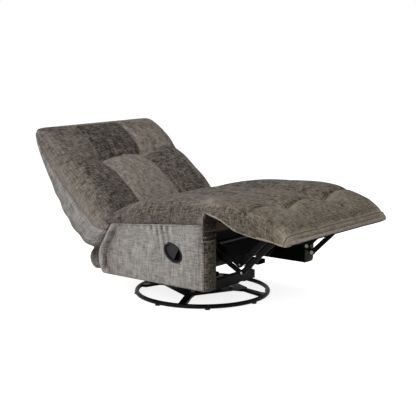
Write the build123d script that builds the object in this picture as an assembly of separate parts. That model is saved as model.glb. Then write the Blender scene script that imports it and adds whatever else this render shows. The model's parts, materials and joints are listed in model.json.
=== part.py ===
from build123d import *
import os
from math import cos, hypot, pi, radians, sin

# A swivel rocking recliner, drawn as it stands open: footrest out and back laid down.
# X runs to the sitter's left, the front is -Y, Z is up, the floor is Z = 0, all in millimetres.
# Pieces are drawn about the swivel axis and moved back by SWIVEL_SETBACK as they are written,
# so that the frame's origin lies on the floor under the middle of the opened chair.

# Clearances shared by all pieces
FIT = 0.3           # between soft or curved neighbours
RUNNING = 0.08      # radial, between a turning pin and its hole
SCREW_ROOM = 0.1    # radial, between a bolt and its hole
SWIVEL_SETBACK = 30.0

# Base: a ring of tube on glides, a cross of arched spokes and a square hub plate
RING_RADIUS = 335.0
RING_TUBE = 22.0
GLIDE_COUNT = 8
GLIDE_HEIGHT = 4.0
GLIDE_DIAMETER = 26.0
BASE_TURN = 21.0
SPOKE_WIDTH = 38.0
SPOKE_THICK = 12.0
SPOKE_TOP = 38.0
HUB_SIDE = 352.0
HUB_THICK = 4.0
HUB_CORNER = 30.0
HUB_BOLT_CIRCLE = 150.0
HUB_BOLT = 10.0

# Swivel bearing between the hub plate and the rocker plate
RACE_DIAMETER = 200.0
RACE_THICK = 7.0
RACE_GAP = 4.0
BALL_DIAMETER = 8.0
BALL_COUNT = 18
BALL_CIRCLE = 85.0
KING_BOLT = 16.0

# Rocker: two beams on a plate carry four coil springs, and the chair rests on those
ROCKER_PLATE_THICK = 4.0
ROCKER_PLATE_WIDTH = 180.0
BEAM_DEPTH = 40.0
BEAM_HEIGHT = 43.0
BEAM_OVERHANG = 30.0
BEAM_WALL = 3.0
SPRING_X = 190.0
SPRING_Y = 150.0
SPRING_SPAN = 43.0
SPRING_RADIUS = 20.0
SPRING_WIRE = 6.0
SPRING_TURNS = 3
SEAT_DISC = 3.0
SEAT_STUD = 8.0

# Mechanism frame under the seat
RAIL_WIDTH = 60.0
RAIL_HEIGHT = 22.0
RAIL_WALL = 3.0
RAIL_REACH = 235.0
CROSS_DEPTH = 30.0
CROSS_HEIGHT = 25.0
CROSS_WALL = 2.5
CROSS_FRONT_Y = -140.0
CROSS_REAR_Y = 160.0
PLATE_THICK = 4.0
PLATE_ROUND = 22.0

# Side panels: a board inside a pad
BODY_WIDTH = 900.0
PANEL_THICK = 85.0
PANEL_FRONT = -384.0
PANEL_BOTTOM = 150.0
PANEL_FOOT_REAR = 278.0
PANEL_REAR = 298.0
PANEL_REAR_Z = 245.0
PANEL_TOP_REAR = 212.0
SEAT_LINE_FRONT = 461.0
SEAT_LINE_REAR = 400.0
BOARD_THICK = 18.0
PANEL_FOAM = 14.0
PANEL_ROUND = 14.0

# Seat: wooden rails, webbing and the cushion that lies over rails and panels
RAIL_FRONT = -360.0
RAIL_REAR = 195.0
SEAT_RAIL_HEIGHT = 45.0
SEAT_RAIL_THICK = 22.0
SEAT_RAIL_WIDTH = 60.0
STRAP_COUNT = 6
STRAP_WIDTH = 50.0
STRAP_PITCH = 90.0
STRAP_THICK = 2.5
STRAP_ROOM = 3.0
CHANNEL_X = 160.0
CUSHION_SIDE = 5.0
BRACKET_SLOT = 26.0

# Footrest hinge line and the parallel links that carry the footrest
HINGE_Y = -470.0
HINGE_Z = 490.0
DRIVE_PIVOT = (-290.0, 320.0)
DRIVE_FOOT = (-655.0, 396.0)
GUIDE_PIVOT = (-315.0, 344.0)
GUIDE_FOOT = (-608.0, 404.0)
LINK_RADIUS = 12.5
LINK_THICK = 4.0
LINK_GAP = 3.0
PIVOT_PIN = 14.0
ELBOW_PIN = 12.0
PIN_COLLAR = 4.0
PIN_HEAD = 2.2
TORQUE_TUBE = 19.0
TORQUE_WALL = 2.0

# Footrest
FOOTREST_TIP = -815.0
FOOT_BOARD_FRONT = -790.0
FOOT_BOARD_REAR = -595.0
FOOT_BOARD_INSET = 55.0
FOOT_BOARD_BOTTOM = 430.0
FOOT_BOARD_THICK = 14.0
FOOT_FLANGE = 40.0
FOOT_SCREW = 5.0

# Back: its face rises at BACK_ANGLE from the crease at the seat
BACK_ANGLE = 38.8
CREASE_Y = 275.0
CREASE_Z = 461.0
BACK_PIVOT = (245.0, 425.0)
BACK_PIVOT_PIN = 16.0
BACK_SKIN = 22.0
UPRIGHT_WIDTH = 40.0
UPRIGHT_FRONT = 112.0
UPRIGHT_DEPTH = 36.0
UPRIGHT_FOOT = -40.0
UPRIGHT_HEAD = 400.0
BACK_BOLT = 8.0

# Release handle on the sitter's right panel
HANDLE_Y = -196.0
HANDLE_Z = 309.0
HANDLE_TILT = 27.0
HANDLE_LONG = 63.0
HANDLE_SHORT = 45.0
HANDLE_RIM = 7.0
HANDLE_FLANGE = 4.0
CUP_DEPTH = 42.0
CUP_WALL = 3.0
PADDLE_HINGE = 38.0
PADDLE_FREE = -14.0
PADDLE_THICK = 5.0
PADDLE_SINK = 4.0
PADDLE_PIN = 4.0
CABLE = 5.0
ANCHOR_SIZE = 20.0

# Heights and places worked out from the sizes above
RING_Z = GLIDE_HEIGHT + RING_TUBE / 2
HUB_TOP = SPOKE_TOP + HUB_THICK
RACE_TOP = HUB_TOP + RACE_THICK
UPPER_RACE = RACE_TOP + RACE_GAP
ROCKER_BASE = UPPER_RACE + RACE_THICK
BEAM_BASE = ROCKER_BASE + ROCKER_PLATE_THICK
BEAM_TOP = BEAM_BASE + BEAM_HEIGHT
RAIL_BASE = BEAM_TOP + SPRING_SPAN
RAIL_TOP = RAIL_BASE + RAIL_HEIGHT
HALF = BODY_WIDTH / 2
PANEL_IN = HALF - PANEL_THICK
BOARD_OUT = PANEL_IN + BOARD_THICK
BEAM_LENGTH = 2 * (SPRING_X + BEAM_OVERHANG)
FOOT_BOARD_HALF = HALF - FOOT_BOARD_INSET
PLATE_OUT = PANEL_IN - SEAT_RAIL_WIDTH
PLATE_IN = PLATE_OUT - PLATE_THICK
LINK_A = PLATE_IN - LINK_GAP - LINK_THICK
LINK_B = LINK_A - LINK_GAP - LINK_THICK
LINK_C = LINK_B - LINK_GAP - LINK_THICK
LINK_D = LINK_C - LINK_GAP - LINK_THICK
DRIVE_ELBOW = (DRIVE_PIVOT[0] + DRIVE_FOOT[0] - HINGE_Y, DRIVE_PIVOT[1] + DRIVE_FOOT[1] - HINGE_Z)
GUIDE_ELBOW = (GUIDE_PIVOT[0] + GUIDE_FOOT[0] - HINGE_Y, GUIDE_PIVOT[1] + GUIDE_FOOT[1] - HINGE_Z)

# The cable leaves the cup's floor, passes the board and ends in its anchor on the side plate
CABLE_END_X = PLATE_OUT + 0.65 * ANCHOR_SIZE
CABLE_POINTS = [
    (CUP_DEPTH - HALF, HANDLE_Y, HANDLE_Z),
    (-PANEL_IN + ANCHOR_SIZE, HANDLE_Y, HANDLE_Z),
    (-CABLE_END_X, HANDLE_Y + 46, HANDLE_Z - 21),
    (-CABLE_END_X, HANDLE_Y + 84, HANDLE_Z - 21),
]

# The back's own frame: x across, y to the rear, z along its face
BACK = Plane(
    origin=(0, CREASE_Y, CREASE_Z),
    x_dir=(1, 0, 0),
    z_dir=(0, cos(radians(BACK_ANGLE)), sin(radians(BACK_ANGLE))),
)
# The handle's own frame: x along the oval towards the rear, z out of the panel
HANDLE = Plane(
    origin=(-HALF, HANDLE_Y, HANDLE_Z),
    x_dir=(0, cos(radians(HANDLE_TILT)), sin(radians(HANDLE_TILT))),
    z_dir=(-1, 0, 0),
)

parts = {}


def seat_line(y):
    """Height of the slanting line on which the seat cushion lies."""
    share = (y - PANEL_FRONT) / (PANEL_TOP_REAR - PANEL_FRONT)
    return SEAT_LINE_FRONT + share * (SEAT_LINE_REAR - SEAT_LINE_FRONT)


def outline(*points):
    """Closed polygon on a sketch plane, with its points where they are given."""
    return Polygon(*points, align=None)


def across(sketch, start, end):
    """Solid between two X values from a sketch of (y, z) points."""
    return extrude(Plane.YZ.offset(start) * sketch, end - start, dir=(1, 0, 0))


def rod(place, diameter, start, end):
    """Round bar along X at (y, z) between two X values."""
    return across(Pos(*place) * Circle(diameter / 2), start, end)


def block(x_range, y_range, z_range):
    """Box between the given limits."""
    middle = [(low + high) / 2 for low, high in (x_range, y_range, z_range)]
    sizes = [high - low for low, high in (x_range, y_range, z_range)]
    return Pos(*middle) * Box(*sizes)


def disc(diameter, bottom, top, place=(0, 0)):
    """Upright cylinder between two heights."""
    return Pos(place[0], place[1], (bottom + top) / 2) * Cylinder(diameter / 2, top - bottom)


def hexagon(across_flats, bottom, top, place=(0, 0)):
    """Upright hexagonal prism, as a bolt head or a nut."""
    sketch = Pos(place[0], place[1], bottom) * RegularPolygon(across_flats / 2, 6, major_radius=False)
    return extrude(sketch, top - bottom)


def bar(first, second, radius):
    """Flat bar outline with round ends about two (y, z) points."""
    run = hypot(second[0] - first[0], second[1] - first[1])
    middle = ((first[0] + second[0]) / 2, (first[1] + second[1]) / 2)
    return Pos(*middle) * SlotCenterToCenter(run, 2 * radius, rotation=angle_of(first, second))


def angle_of(first, second):
    """Direction from one point to another, in degrees."""
    return (Vector(*second) - Vector(*first)).get_signed_angle(Vector(1, 0), Vector(0, 0, -1))


def left_and_right(solid):
    """The solid on the sitter's left and its mirror image on the right."""
    return solid, mirror(solid, about=Plane.YZ)


def group(*shapes):
    """Several separate solids kept together as one piece."""
    return Compound([solid for shape in shapes for solid in shape.solids()])


# Base
def make_base():
    ring = Pos(0, 0, RING_Z) * Torus(RING_RADIUS, RING_TUBE / 2)
    parts["base_ring"] = ring
    glides = []
    for index in range(GLIDE_COUNT):
        turn = BASE_TURN + (index + 0.5) * 360 / GLIDE_COUNT
        place = (RING_RADIUS * cos(radians(turn)), RING_RADIUS * sin(radians(turn)))
        glides.append(disc(GLIDE_DIAMETER, 0, RING_Z * 0.6, place) - ring)
    parts["base_glides"] = group(*glides)

    end = RING_RADIUS - RING_TUBE * 0.14
    foot = RING_RADIUS - RING_TUBE * 1.5
    rise = RING_RADIUS - RING_TUBE * 5
    low = RING_Z - SPOKE_THICK / 2 - 1
    high = RING_Z + SPOKE_THICK / 2 + 1
    arch = SPOKE_TOP - SPOKE_THICK
    half = [(end, low), (foot, low), (rise, arch)]
    over = [(rise, SPOKE_TOP), (foot + 6, high), (end, high)]
    loop = half[::1] + [(-y, z) for y, z in half[::-1]]
    loop += [(-y, z) for y, z in over[::-1]] + over
    spoke = across(outline(*loop), -SPOKE_WIDTH / 2, SPOKE_WIDTH / 2)
    cross = spoke + Rot(0, 0, 90) * spoke
    cross = Rot(0, 0, BASE_TURN) * cross - ring
    hub = extrude(RectangleRounded(HUB_SIDE, HUB_SIDE, HUB_CORNER), HUB_THICK)
    hub = Pos(0, 0, SPOKE_TOP) * Rot(0, 0, BASE_TURN + 45) * hub
    centre = disc(KING_BOLT + 2 * SCREW_ROOM, 0, RACE_TOP)
    bolts = []
    for index in range(4):
        turn = radians(BASE_TURN + 90 * index)
        place = (HUB_BOLT_CIRCLE * cos(turn), HUB_BOLT_CIRCLE * sin(turn))
        hole = disc(HUB_BOLT + 2 * SCREW_ROOM, 0, HUB_TOP, place)
        cross -= hole
        hub -= hole
        head = hexagon(1.7 * HUB_BOLT, HUB_TOP, HUB_TOP + 0.6 * HUB_BOLT, place)
        bolts.append(head + disc(HUB_BOLT, arch, HUB_TOP, place))
    parts["base_spokes"] = cross - centre
    parts["hub_plate"] = hub - centre
    parts["hub_bolts"] = group(*bolts)


# Swivel bearing
def make_bearing():
    groove = Pos(0, 0, RACE_TOP + RACE_GAP / 2) * Torus(BALL_CIRCLE, BALL_DIAMETER / 2 + 2 * RUNNING)
    lower = disc(RACE_DIAMETER, HUB_TOP, RACE_TOP) - groove
    upper = disc(RACE_DIAMETER, UPPER_RACE, ROCKER_BASE) - groove
    parts["swivel_lower_race"] = lower - disc(KING_BOLT + 2 * SCREW_ROOM, 0, RACE_TOP)
    parts["swivel_upper_race"] = upper - disc(KING_BOLT + 2 * RUNNING, 0, ROCKER_BASE)
    balls = []
    for index in range(BALL_COUNT):
        turn = 2 * pi * index / BALL_COUNT
        place = (BALL_CIRCLE * cos(turn), BALL_CIRCLE * sin(turn), RACE_TOP + RACE_GAP / 2)
        balls.append(Pos(*place) * Sphere(BALL_DIAMETER / 2))
    parts["swivel_balls"] = group(*balls)
    nut_top = SPOKE_TOP - SPOKE_THICK
    nut_bottom = nut_top - 0.8 * KING_BOLT
    shank = disc(KING_BOLT, nut_bottom, ROCKER_BASE + FIT)
    head = hexagon(1.6 * KING_BOLT, ROCKER_BASE + FIT, ROCKER_BASE + FIT + 0.6 * KING_BOLT)
    parts["king_bolt"] = shank + head
    parts["king_nut"] = hexagon(1.6 * KING_BOLT, nut_bottom, nut_top) - disc(KING_BOLT, 0, nut_top)


def coil_path():
    """Centre line of one rocker spring, each quarter turn made of two tangent arcs."""
    low = BEAM_TOP + SEAT_DISC + SPRING_WIRE / 2
    rise = SPRING_SPAN - 2 * SEAT_DISC - SPRING_WIRE
    steps = 8 * SPRING_TURNS
    slope = rise / (2 * pi * SPRING_TURNS)

    def at(step):
        turn = step * pi / 4
        return Vector(SPRING_RADIUS * cos(turn), SPRING_RADIUS * sin(turn), low + slope * turn)

    def heading(step):
        turn = step * pi / 4
        return Vector(-SPRING_RADIUS * sin(turn), SPRING_RADIUS * cos(turn), slope)

    arcs = []
    for step in range(0, steps, 2):
        arcs.append(TangentArc(at(step), at(step + 1), tangent=heading(step)))
        back = heading(step + 2) * -1
        arcs.append(TangentArc(at(step + 1), at(step + 2), tangent=back, tangent_from_first=False))
    points = [at(step / 4) for step in range(4 * steps + 1)]
    near = min((a - b).length for i, a in enumerate(points) for b in points[i + 16:])
    print("rocker spring: least gap between turns", round(near - SPRING_WIRE, 2), "mm")
    return Wire([arc.edge() for arc in arcs]), at(0), heading(0)


# Rocker
def make_rocker():
    plate_half = SPRING_Y + BEAM_DEPTH / 2
    plate = block((-ROCKER_PLATE_WIDTH / 2, ROCKER_PLATE_WIDTH / 2), (-plate_half, plate_half),
                  (ROCKER_BASE, BEAM_BASE))
    parts["rocker_plate"] = plate - disc(2.5 * KING_BOLT, ROCKER_BASE, BEAM_BASE)
    beams = []
    for y in (-SPRING_Y, SPRING_Y):
        beam = block((-BEAM_LENGTH / 2, BEAM_LENGTH / 2), (y - BEAM_DEPTH / 2, y + BEAM_DEPTH / 2),
                     (BEAM_BASE, BEAM_TOP))
        hollow = block((-BEAM_LENGTH / 2, BEAM_LENGTH / 2),
                       (y - BEAM_DEPTH / 2 + BEAM_WALL, y + BEAM_DEPTH / 2 - BEAM_WALL),
                       (BEAM_BASE + BEAM_WALL, BEAM_TOP - BEAM_WALL))
        beams.append(beam - hollow)
    parts["rocker_beams"] = group(*beams)
    path, start, heading = coil_path()
    wire = sweep(Plane(start, z_dir=heading) * Circle(SPRING_WIRE / 2), path=path)
    stud = 2 * (SPRING_RADIUS - SPRING_WIRE / 2 - 2)
    rim = 2 * (SPRING_RADIUS + SPRING_WIRE)
    lower = disc(rim, BEAM_TOP, BEAM_TOP + SEAT_DISC) + disc(stud, BEAM_TOP, BEAM_TOP + SEAT_DISC + SEAT_STUD)
    upper = disc(rim, RAIL_BASE - SEAT_DISC, RAIL_BASE) + disc(stud, RAIL_BASE - SEAT_DISC - SEAT_STUD, RAIL_BASE)
    corners = [Pos(x, y) for x in (-SPRING_X, SPRING_X) for y in (-SPRING_Y, SPRING_Y)]
    parts["rocker_springs"] = group(*[corner * wire for corner in corners])
    parts["spring_seats_lower"] = group(*[corner * lower for corner in corners])
    parts["spring_seats_upper"] = group(*[corner * upper for corner in corners])


# Mechanism frame
def make_mechanism():
    inner, outer = SPRING_X - RAIL_WIDTH / 2, SPRING_X + RAIL_WIDTH / 2
    rail = block((inner, outer), (-RAIL_REACH, RAIL_REACH), (RAIL_BASE, RAIL_TOP))
    rail -= block((inner + RAIL_WALL, outer - RAIL_WALL), (-RAIL_REACH, RAIL_REACH),
                  (RAIL_BASE + RAIL_WALL, RAIL_TOP))
    parts["base_rail_left"], parts["base_rail_right"] = left_and_right(rail)
    for name, y in (("front", CROSS_FRONT_Y), ("rear", CROSS_REAR_Y)):
        tube = block((-PLATE_IN, PLATE_IN), (y - CROSS_DEPTH / 2, y + CROSS_DEPTH / 2),
                     (RAIL_TOP, RAIL_TOP + CROSS_HEIGHT))
        bore = block((-PLATE_IN, PLATE_IN),
                     (y - CROSS_DEPTH / 2 + CROSS_WALL, y + CROSS_DEPTH / 2 - CROSS_WALL),
                     (RAIL_TOP + CROSS_WALL, RAIL_TOP + CROSS_HEIGHT - CROSS_WALL))
        parts["cross_rail_" + name] = tube - bore

    # Side plate: rounded about the foot, the link pivots, the seat rail and the back pivot
    foot_z = RAIL_TOP + CROSS_HEIGHT / 2
    front_foot, rear_foot = (CROSS_FRONT_Y - 40, foot_z), (CROSS_REAR_Y + 30, foot_z)
    top_front = (PANEL_FRONT + 184, seat_line(PANEL_FRONT + 184) - SEAT_RAIL_HEIGHT)
    top_rear = (CROSS_REAR_Y, seat_line(CROSS_REAR_Y) - SEAT_RAIL_HEIGHT / 2)
    runs = [(front_foot, rear_foot), (front_foot, DRIVE_PIVOT), (DRIVE_PIVOT, GUIDE_PIVOT),
            (GUIDE_PIVOT, top_front), (top_front, top_rear), (top_rear, BACK_PIVOT),
            (rear_foot, BACK_PIVOT)]
    sketch = Sketch() + [bar(first, second, PLATE_ROUND) for first, second in runs]
    sketch += outline(front_foot, rear_foot, BACK_PIVOT, top_rear, top_front, GUIDE_PIVOT, DRIVE_PIVOT)
    plate = across(sketch, PLATE_IN, PLATE_OUT)
    plate -= rod(DRIVE_PIVOT, PIVOT_PIN, PLATE_IN, PLATE_OUT)
    plate -= rod(GUIDE_PIVOT, PIVOT_PIN, PLATE_IN, PLATE_OUT)
    plate -= rod(BACK_PIVOT, BACK_PIVOT_PIN, PLATE_IN, PLATE_OUT)

    # Pivot studs of the two lower links and of the back
    collar = PIVOT_PIN + 2 * PIN_COLLAR
    head = LINK_A - (LINK_GAP + PIN_HEAD) / 2
    drive = rod(DRIVE_PIVOT, PIVOT_PIN, head, PLATE_OUT) + rod(DRIVE_PIVOT, collar, head, head + PIN_HEAD)
    drive += rod(DRIVE_PIVOT, collar, LINK_A + LINK_THICK + 0.4, PLATE_IN)
    guide = rod(GUIDE_PIVOT, PIVOT_PIN, LINK_C + 0.5, PLATE_OUT)
    guide += rod(GUIDE_PIVOT, collar, LINK_C + LINK_THICK + 0.4, PLATE_IN)
    back = rod(BACK_PIVOT, BACK_PIVOT_PIN, head, PLATE_OUT)
    back += rod(BACK_PIVOT, BACK_PIVOT_PIN + 2 * PIN_COLLAR, head, head + PIN_HEAD)
    back += rod(BACK_PIVOT, BACK_PIVOT_PIN + 2 * PIN_COLLAR, LINK_A + LINK_THICK + 0.4, PLATE_IN)
    parts["pivot_studs"] = group(*left_and_right(drive), *left_and_right(guide), *left_and_right(back))
    return plate


# Seat rails, webbing and the bolts that hold rails, boards and side plates together
def make_seat_frame(plate):
    def rail_profile(front, rear):
        top = [(front, seat_line(front) - STRAP_ROOM), (rear, seat_line(rear) - STRAP_ROOM)]
        return outline(*top, *[(y, z - SEAT_RAIL_HEIGHT) for y, z in top[::-1]])

    side = across(rail_profile(RAIL_FRONT, RAIL_REAR), PLATE_OUT, PANEL_IN - FIT)
    front = rail_profile(RAIL_FRONT, RAIL_FRONT + SEAT_RAIL_THICK)
    rear = rail_profile(RAIL_REAR - SEAT_RAIL_THICK, RAIL_REAR)
    parts["seat_rail_front"] = across(front, FIT - PLATE_OUT, PLATE_OUT - FIT)
    parts["seat_rail_rear"] = across(rear, FIT - PLATE_IN, PLATE_IN - FIT)

    straps = []
    ends = (RAIL_FRONT + 4, RAIL_REAR - 4)
    low = [(y, seat_line(y) - STRAP_ROOM) for y in ends]
    strap = outline(*low, *[(y, z + STRAP_THICK) for y, z in low[::-1]])
    for index in range(STRAP_COUNT):
        x = (index - (STRAP_COUNT - 1) / 2) * STRAP_PITCH
        straps.append(across(strap, x - STRAP_WIDTH / 2, x + STRAP_WIDTH / 2))
    parts["seat_webbing"] = group(*straps)

    board = panel_board()
    bolts = []
    for y in (CROSS_FRONT_Y + 20, CROSS_REAR_Y - 50):
        place = (y, seat_line(y) - STRAP_ROOM - SEAT_RAIL_HEIGHT * 0.7)
        hole = rod(place, BACK_BOLT + 2 * SCREW_ROOM, PLATE_IN, BOARD_OUT - 3)
        side -= hole
        plate -= hole
        board -= hole
        bolts.append(rod(place, BACK_BOLT, PLATE_IN, BOARD_OUT - 3)
                     + rod(place, 1.8 * BACK_BOLT, PLATE_IN - 0.6 * BACK_BOLT, PLATE_IN))
    both = [left_and_right(bolt) for bolt in bolts]
    parts["mechanism_bolts"] = group(*[solid for pair in both for solid in pair])
    parts["seat_rail_left"], parts["seat_rail_right"] = left_and_right(side)
    parts["side_plate_left"], parts["side_plate_right"] = left_and_right(plate)
    return board


def panel_sketch():
    """Side panel seen from the side: upright front, flat foot, slanting rear edge."""
    sketch = outline((PANEL_FRONT, PANEL_BOTTOM), (PANEL_FOOT_REAR, PANEL_BOTTOM), (PANEL_REAR, PANEL_REAR_Z),
                     (PANEL_TOP_REAR, seat_line(PANEL_TOP_REAR)), (PANEL_FRONT, seat_line(PANEL_FRONT)))
    rear = sketch.vertices().sort_by(Axis.X)[-1]
    return fillet(rear, 40)


def panel_board():
    return across(offset(panel_sketch(), -PANEL_FOAM, kind=Kind.INTERSECTION), PANEL_IN, BOARD_OUT)


# Side panels, the rear bottom rail between them and the flap hung from it
def make_panels(board):
    pad = across(panel_sketch(), PANEL_IN, HALF)
    pocket = offset(panel_sketch(), FIT - PANEL_FOAM, kind=Kind.INTERSECTION)
    pad = fillet(pad.faces().sort_by(Axis.X)[-1].edges(), PANEL_ROUND)
    pad -= across(pocket, PANEL_IN, BOARD_OUT + FIT)
    left_pad, right_pad = left_and_right(pad)
    parts["side_pad_left"] = left_pad
    left_board, right_board = left_and_right(board)
    parts["side_board_left"] = left_board
    hole = HANDLE * Ellipse(HANDLE_LONG - HANDLE_RIM + FIT, HANDLE_SHORT - HANDLE_RIM + FIT)
    parts["side_pad_right"] = right_pad - extrude(hole, amount=-PANEL_THICK)
    cable_hole = rod(CABLE_POINTS[0][1:], CABLE + 2, -BOARD_OUT, -PANEL_IN)
    parts["side_board_right"] = right_board - cable_hole

    reach = PANEL_IN - FIT
    rail_rear = PANEL_FOOT_REAR - PANEL_FOAM - 4
    rail_z = PANEL_BOTTOM + PANEL_FOAM + 4
    parts["rear_bottom_rail"] = block((-reach, reach), (rail_rear - SEAT_RAIL_THICK, rail_rear),
                                      (rail_z, rail_z + SEAT_RAIL_HEIGHT))
    start = rail_rear + FIT
    cloth = 3.0
    outer = [(start, rail_z + 2), (start + 85, rail_z + 8), (start + 124, rail_z + 34),
             (start + 138, rail_z + 58), (start + 96, rail_z + 96)]
    inner = [(start, rail_z + 2 + cloth), (start + 84, rail_z + 8 + cloth),
             (start + 124 - cloth, rail_z + 34 + cloth), (start + 135, rail_z + 58),
             (start + 94, rail_z + 96 - cloth)]
    edges = [ThreePointArc(*outer[:3]), ThreePointArc(*outer[2:]), Line(outer[-1], inner[-1]),
             ThreePointArc(*inner[:1:-1]), ThreePointArc(*inner[2::-1]), Line(inner[0], outer[0])]
    flap = make_face(edges)
    parts["rear_flap"] = across(flap, -reach, reach)


def pillow(width, base, edge, crown, channel):
    """Cushion section: flat base, drawn sides and three crowned columns between two channels."""
    points = [(-width, base), (-width, edge), (-CHANNEL_X, channel), (CHANNEL_X, channel),
              (width, edge), (width, base)]
    side = (width + CUSHION_SIDE, (base + edge) / 2)
    column = ((width + CHANNEL_X) / 2, crown)
    arcs = [ThreePointArc(points[0], (-side[0], side[1]), points[1]),
            ThreePointArc(points[1], (-column[0], column[1]), points[2]),
            ThreePointArc(points[2], (0, crown), points[3]),
            ThreePointArc(points[3], column, points[4]),
            ThreePointArc(points[4], side, points[5]),
            Line(points[5], points[0])]
    return make_face(arcs)


def upright_section(y, face):
    """Puts a section of (x, z) points at a given y."""
    return Plane(origin=(0, y, 0), x_dir=(1, 0, 0), z_dir=(0, -1, 0)) * face


# Seat and footrest cushions, one continuous pad that parts at the hinge line
def make_cushions():
    # y, half width, then edge, crown and channel as heights above the seat line
    seat = [(240, HALF - 6, 40.9, 76.9, 66.9), (150, HALF, 55.7, 97.7, 84.7), (15, HALF, 69.8, 115.8, 101.8),
            (-120, HALF, 76, 124, 109), (-280, HALF, 69.6, 105.6, 95.6), (PANEL_FRONT, HALF, 65, 107, 89),
            (HINGE_Y + 2, HALF - 4, 58.4, 96.4, 79.4)]
    sections = []
    for y, width, *heights in seat:
        line = seat_line(y)
        sections.append(upright_section(y, pillow(width, line + FIT, *[line + rise for rise in heights])))
    cushion = loft(sections, ruled=True)
    deep = HINGE_Z - 190
    below = outline((PANEL_FRONT, deep), (PANEL_FRONT, SEAT_LINE_FRONT + 57), (HINGE_Y, HINGE_Z + 1),
                    (HINGE_Y - 60, HINGE_Z + 1), (HINGE_Y - 60, deep))
    pivot_y, pivot_z = BACK_PIVOT
    behind = outline((pivot_y - 33, deep), (pivot_y - 33, pivot_z - 27), (pivot_y - 13, pivot_z + 5),
                     (pivot_y - 13, pivot_z + 175), (pivot_y + 60, pivot_z + 175), (pivot_y + 60, deep))
    wide = HALF + 40
    cushion -= across(below, -wide, wide)
    cushion -= across(behind, -wide, wide)
    slot = block((LINK_A - BRACKET_SLOT / 2 + 4, LINK_A + BRACKET_SLOT / 2 + 4),
                 (CROSS_REAR_Y - 40, pivot_y + 60), (deep, pivot_z + 30))
    for cut in left_and_right(slot):
        cushion -= cut
    parts["seat_cushion"] = cushion

    # y, half width, then base, edge, crown and channel as heights from the footrest's hinge line
    foot = [(HINGE_Y - 2, HALF - 4, -12, 38, 76, 59), (HINGE_Y - 70, HALF - 9, -40, 36, 78, 60),
            (HINGE_Y - 130, HALF - 14, -55, 22, 55, 44), (HINGE_Y - 190, HALF - 16, -63, 4, 44, 28),
            (HINGE_Y - 275, HALF - 20, -67, -22, 12, -2), (HINGE_Y - 325, HALF - 27, -66, -40, -24, -32),
            (FOOTREST_TIP, HALF - 40, -62, -50, -43, -47)]
    sections = []
    for y, width, *heights in foot:
        sections.append(upright_section(y, pillow(width, *[HINGE_Z + rise for rise in heights])))
    cushion = loft(sections, ruled=True)
    pocket = block((-FOOT_BOARD_HALF - FIT, FOOT_BOARD_HALF + FIT),
                   (FOOT_BOARD_FRONT - FIT, FOOT_BOARD_REAR + FIT),
                   (deep, FOOT_BOARD_BOTTOM + FOOT_BOARD_THICK + FIT))
    parts["footrest_cushion"] = cushion - pocket


# Footrest board, the brackets under it and their screws and pins
def make_footrest():
    board = block((-FOOT_BOARD_HALF, FOOT_BOARD_HALF), (FOOT_BOARD_FRONT, FOOT_BOARD_REAR),
                  (FOOT_BOARD_BOTTOM, FOOT_BOARD_BOTTOM + FOOT_BOARD_THICK))
    web = Sketch() + [bar(DRIVE_FOOT, GUIDE_FOOT, LINK_RADIUS + 1)]
    front, rear = DRIVE_FOOT[0] - LINK_RADIUS, GUIDE_FOOT[0] + LINK_RADIUS
    web += outline((front, DRIVE_FOOT[1]), (rear, GUIDE_FOOT[1]), (rear, FOOT_BOARD_BOTTOM),
                   (front, FOOT_BOARD_BOTTOM))
    bracket = across(web, LINK_C, LINK_C + LINK_THICK)
    bracket += block((LINK_C - FOOT_FLANGE, LINK_C + LINK_THICK), (front, rear),
                     (FOOT_BOARD_BOTTOM - LINK_THICK, FOOT_BOARD_BOTTOM))
    bracket -= rod(DRIVE_FOOT, ELBOW_PIN, LINK_C, LINK_C + LINK_THICK)
    bracket -= rod(GUIDE_FOOT, ELBOW_PIN, LINK_C, LINK_C + LINK_THICK)
    screws = []
    low = FOOT_BOARD_BOTTOM - LINK_THICK
    for side in (-1, 1):
        for y in (front + 12, rear - 12):
            place = (side * (LINK_C - FOOT_FLANGE * 0.6), y)
            hole = disc(FOOT_SCREW + 2 * SCREW_ROOM, low, FOOT_BOARD_BOTTOM + 10, place)
            board -= hole
            if side > 0:
                bracket -= hole
            screws.append(disc(FOOT_SCREW, low, FOOT_BOARD_BOTTOM + 10, place)
                          + disc(2 * FOOT_SCREW, low - 3, low, place))
    parts["footrest_board"] = board
    parts["footrest_brackets"] = group(*left_and_right(bracket))
    parts["footrest_screws"] = group(*screws)
    outward = link_pin(DRIVE_FOOT, LINK_C, LINK_B, 1)
    inward = link_pin(GUIDE_FOOT, LINK_C, LINK_D, -1)
    parts["footrest_pins"] = group(*left_and_right(outward), *left_and_right(inward))


def link_pin(place, held, turning, side):
    """Rivet fixed in one bar, with a collar and a head on either side of the bar that turns on it."""
    collar = ELBOW_PIN + 2 * PIN_COLLAR - 1
    if side > 0:
        face = held + LINK_THICK
        far = turning + LINK_THICK + 0.4
        pin = rod(place, ELBOW_PIN, held, far) + rod(place, collar, face, turning - 0.4)
        return pin + rod(place, collar, far, far + PIN_HEAD)
    far = turning - 0.4
    pin = rod(place, ELBOW_PIN, far, held + LINK_THICK)
    pin += rod(place, collar, turning + LINK_THICK + 0.4, held)
    return pin + rod(place, collar, far - PIN_HEAD, far)


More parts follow.
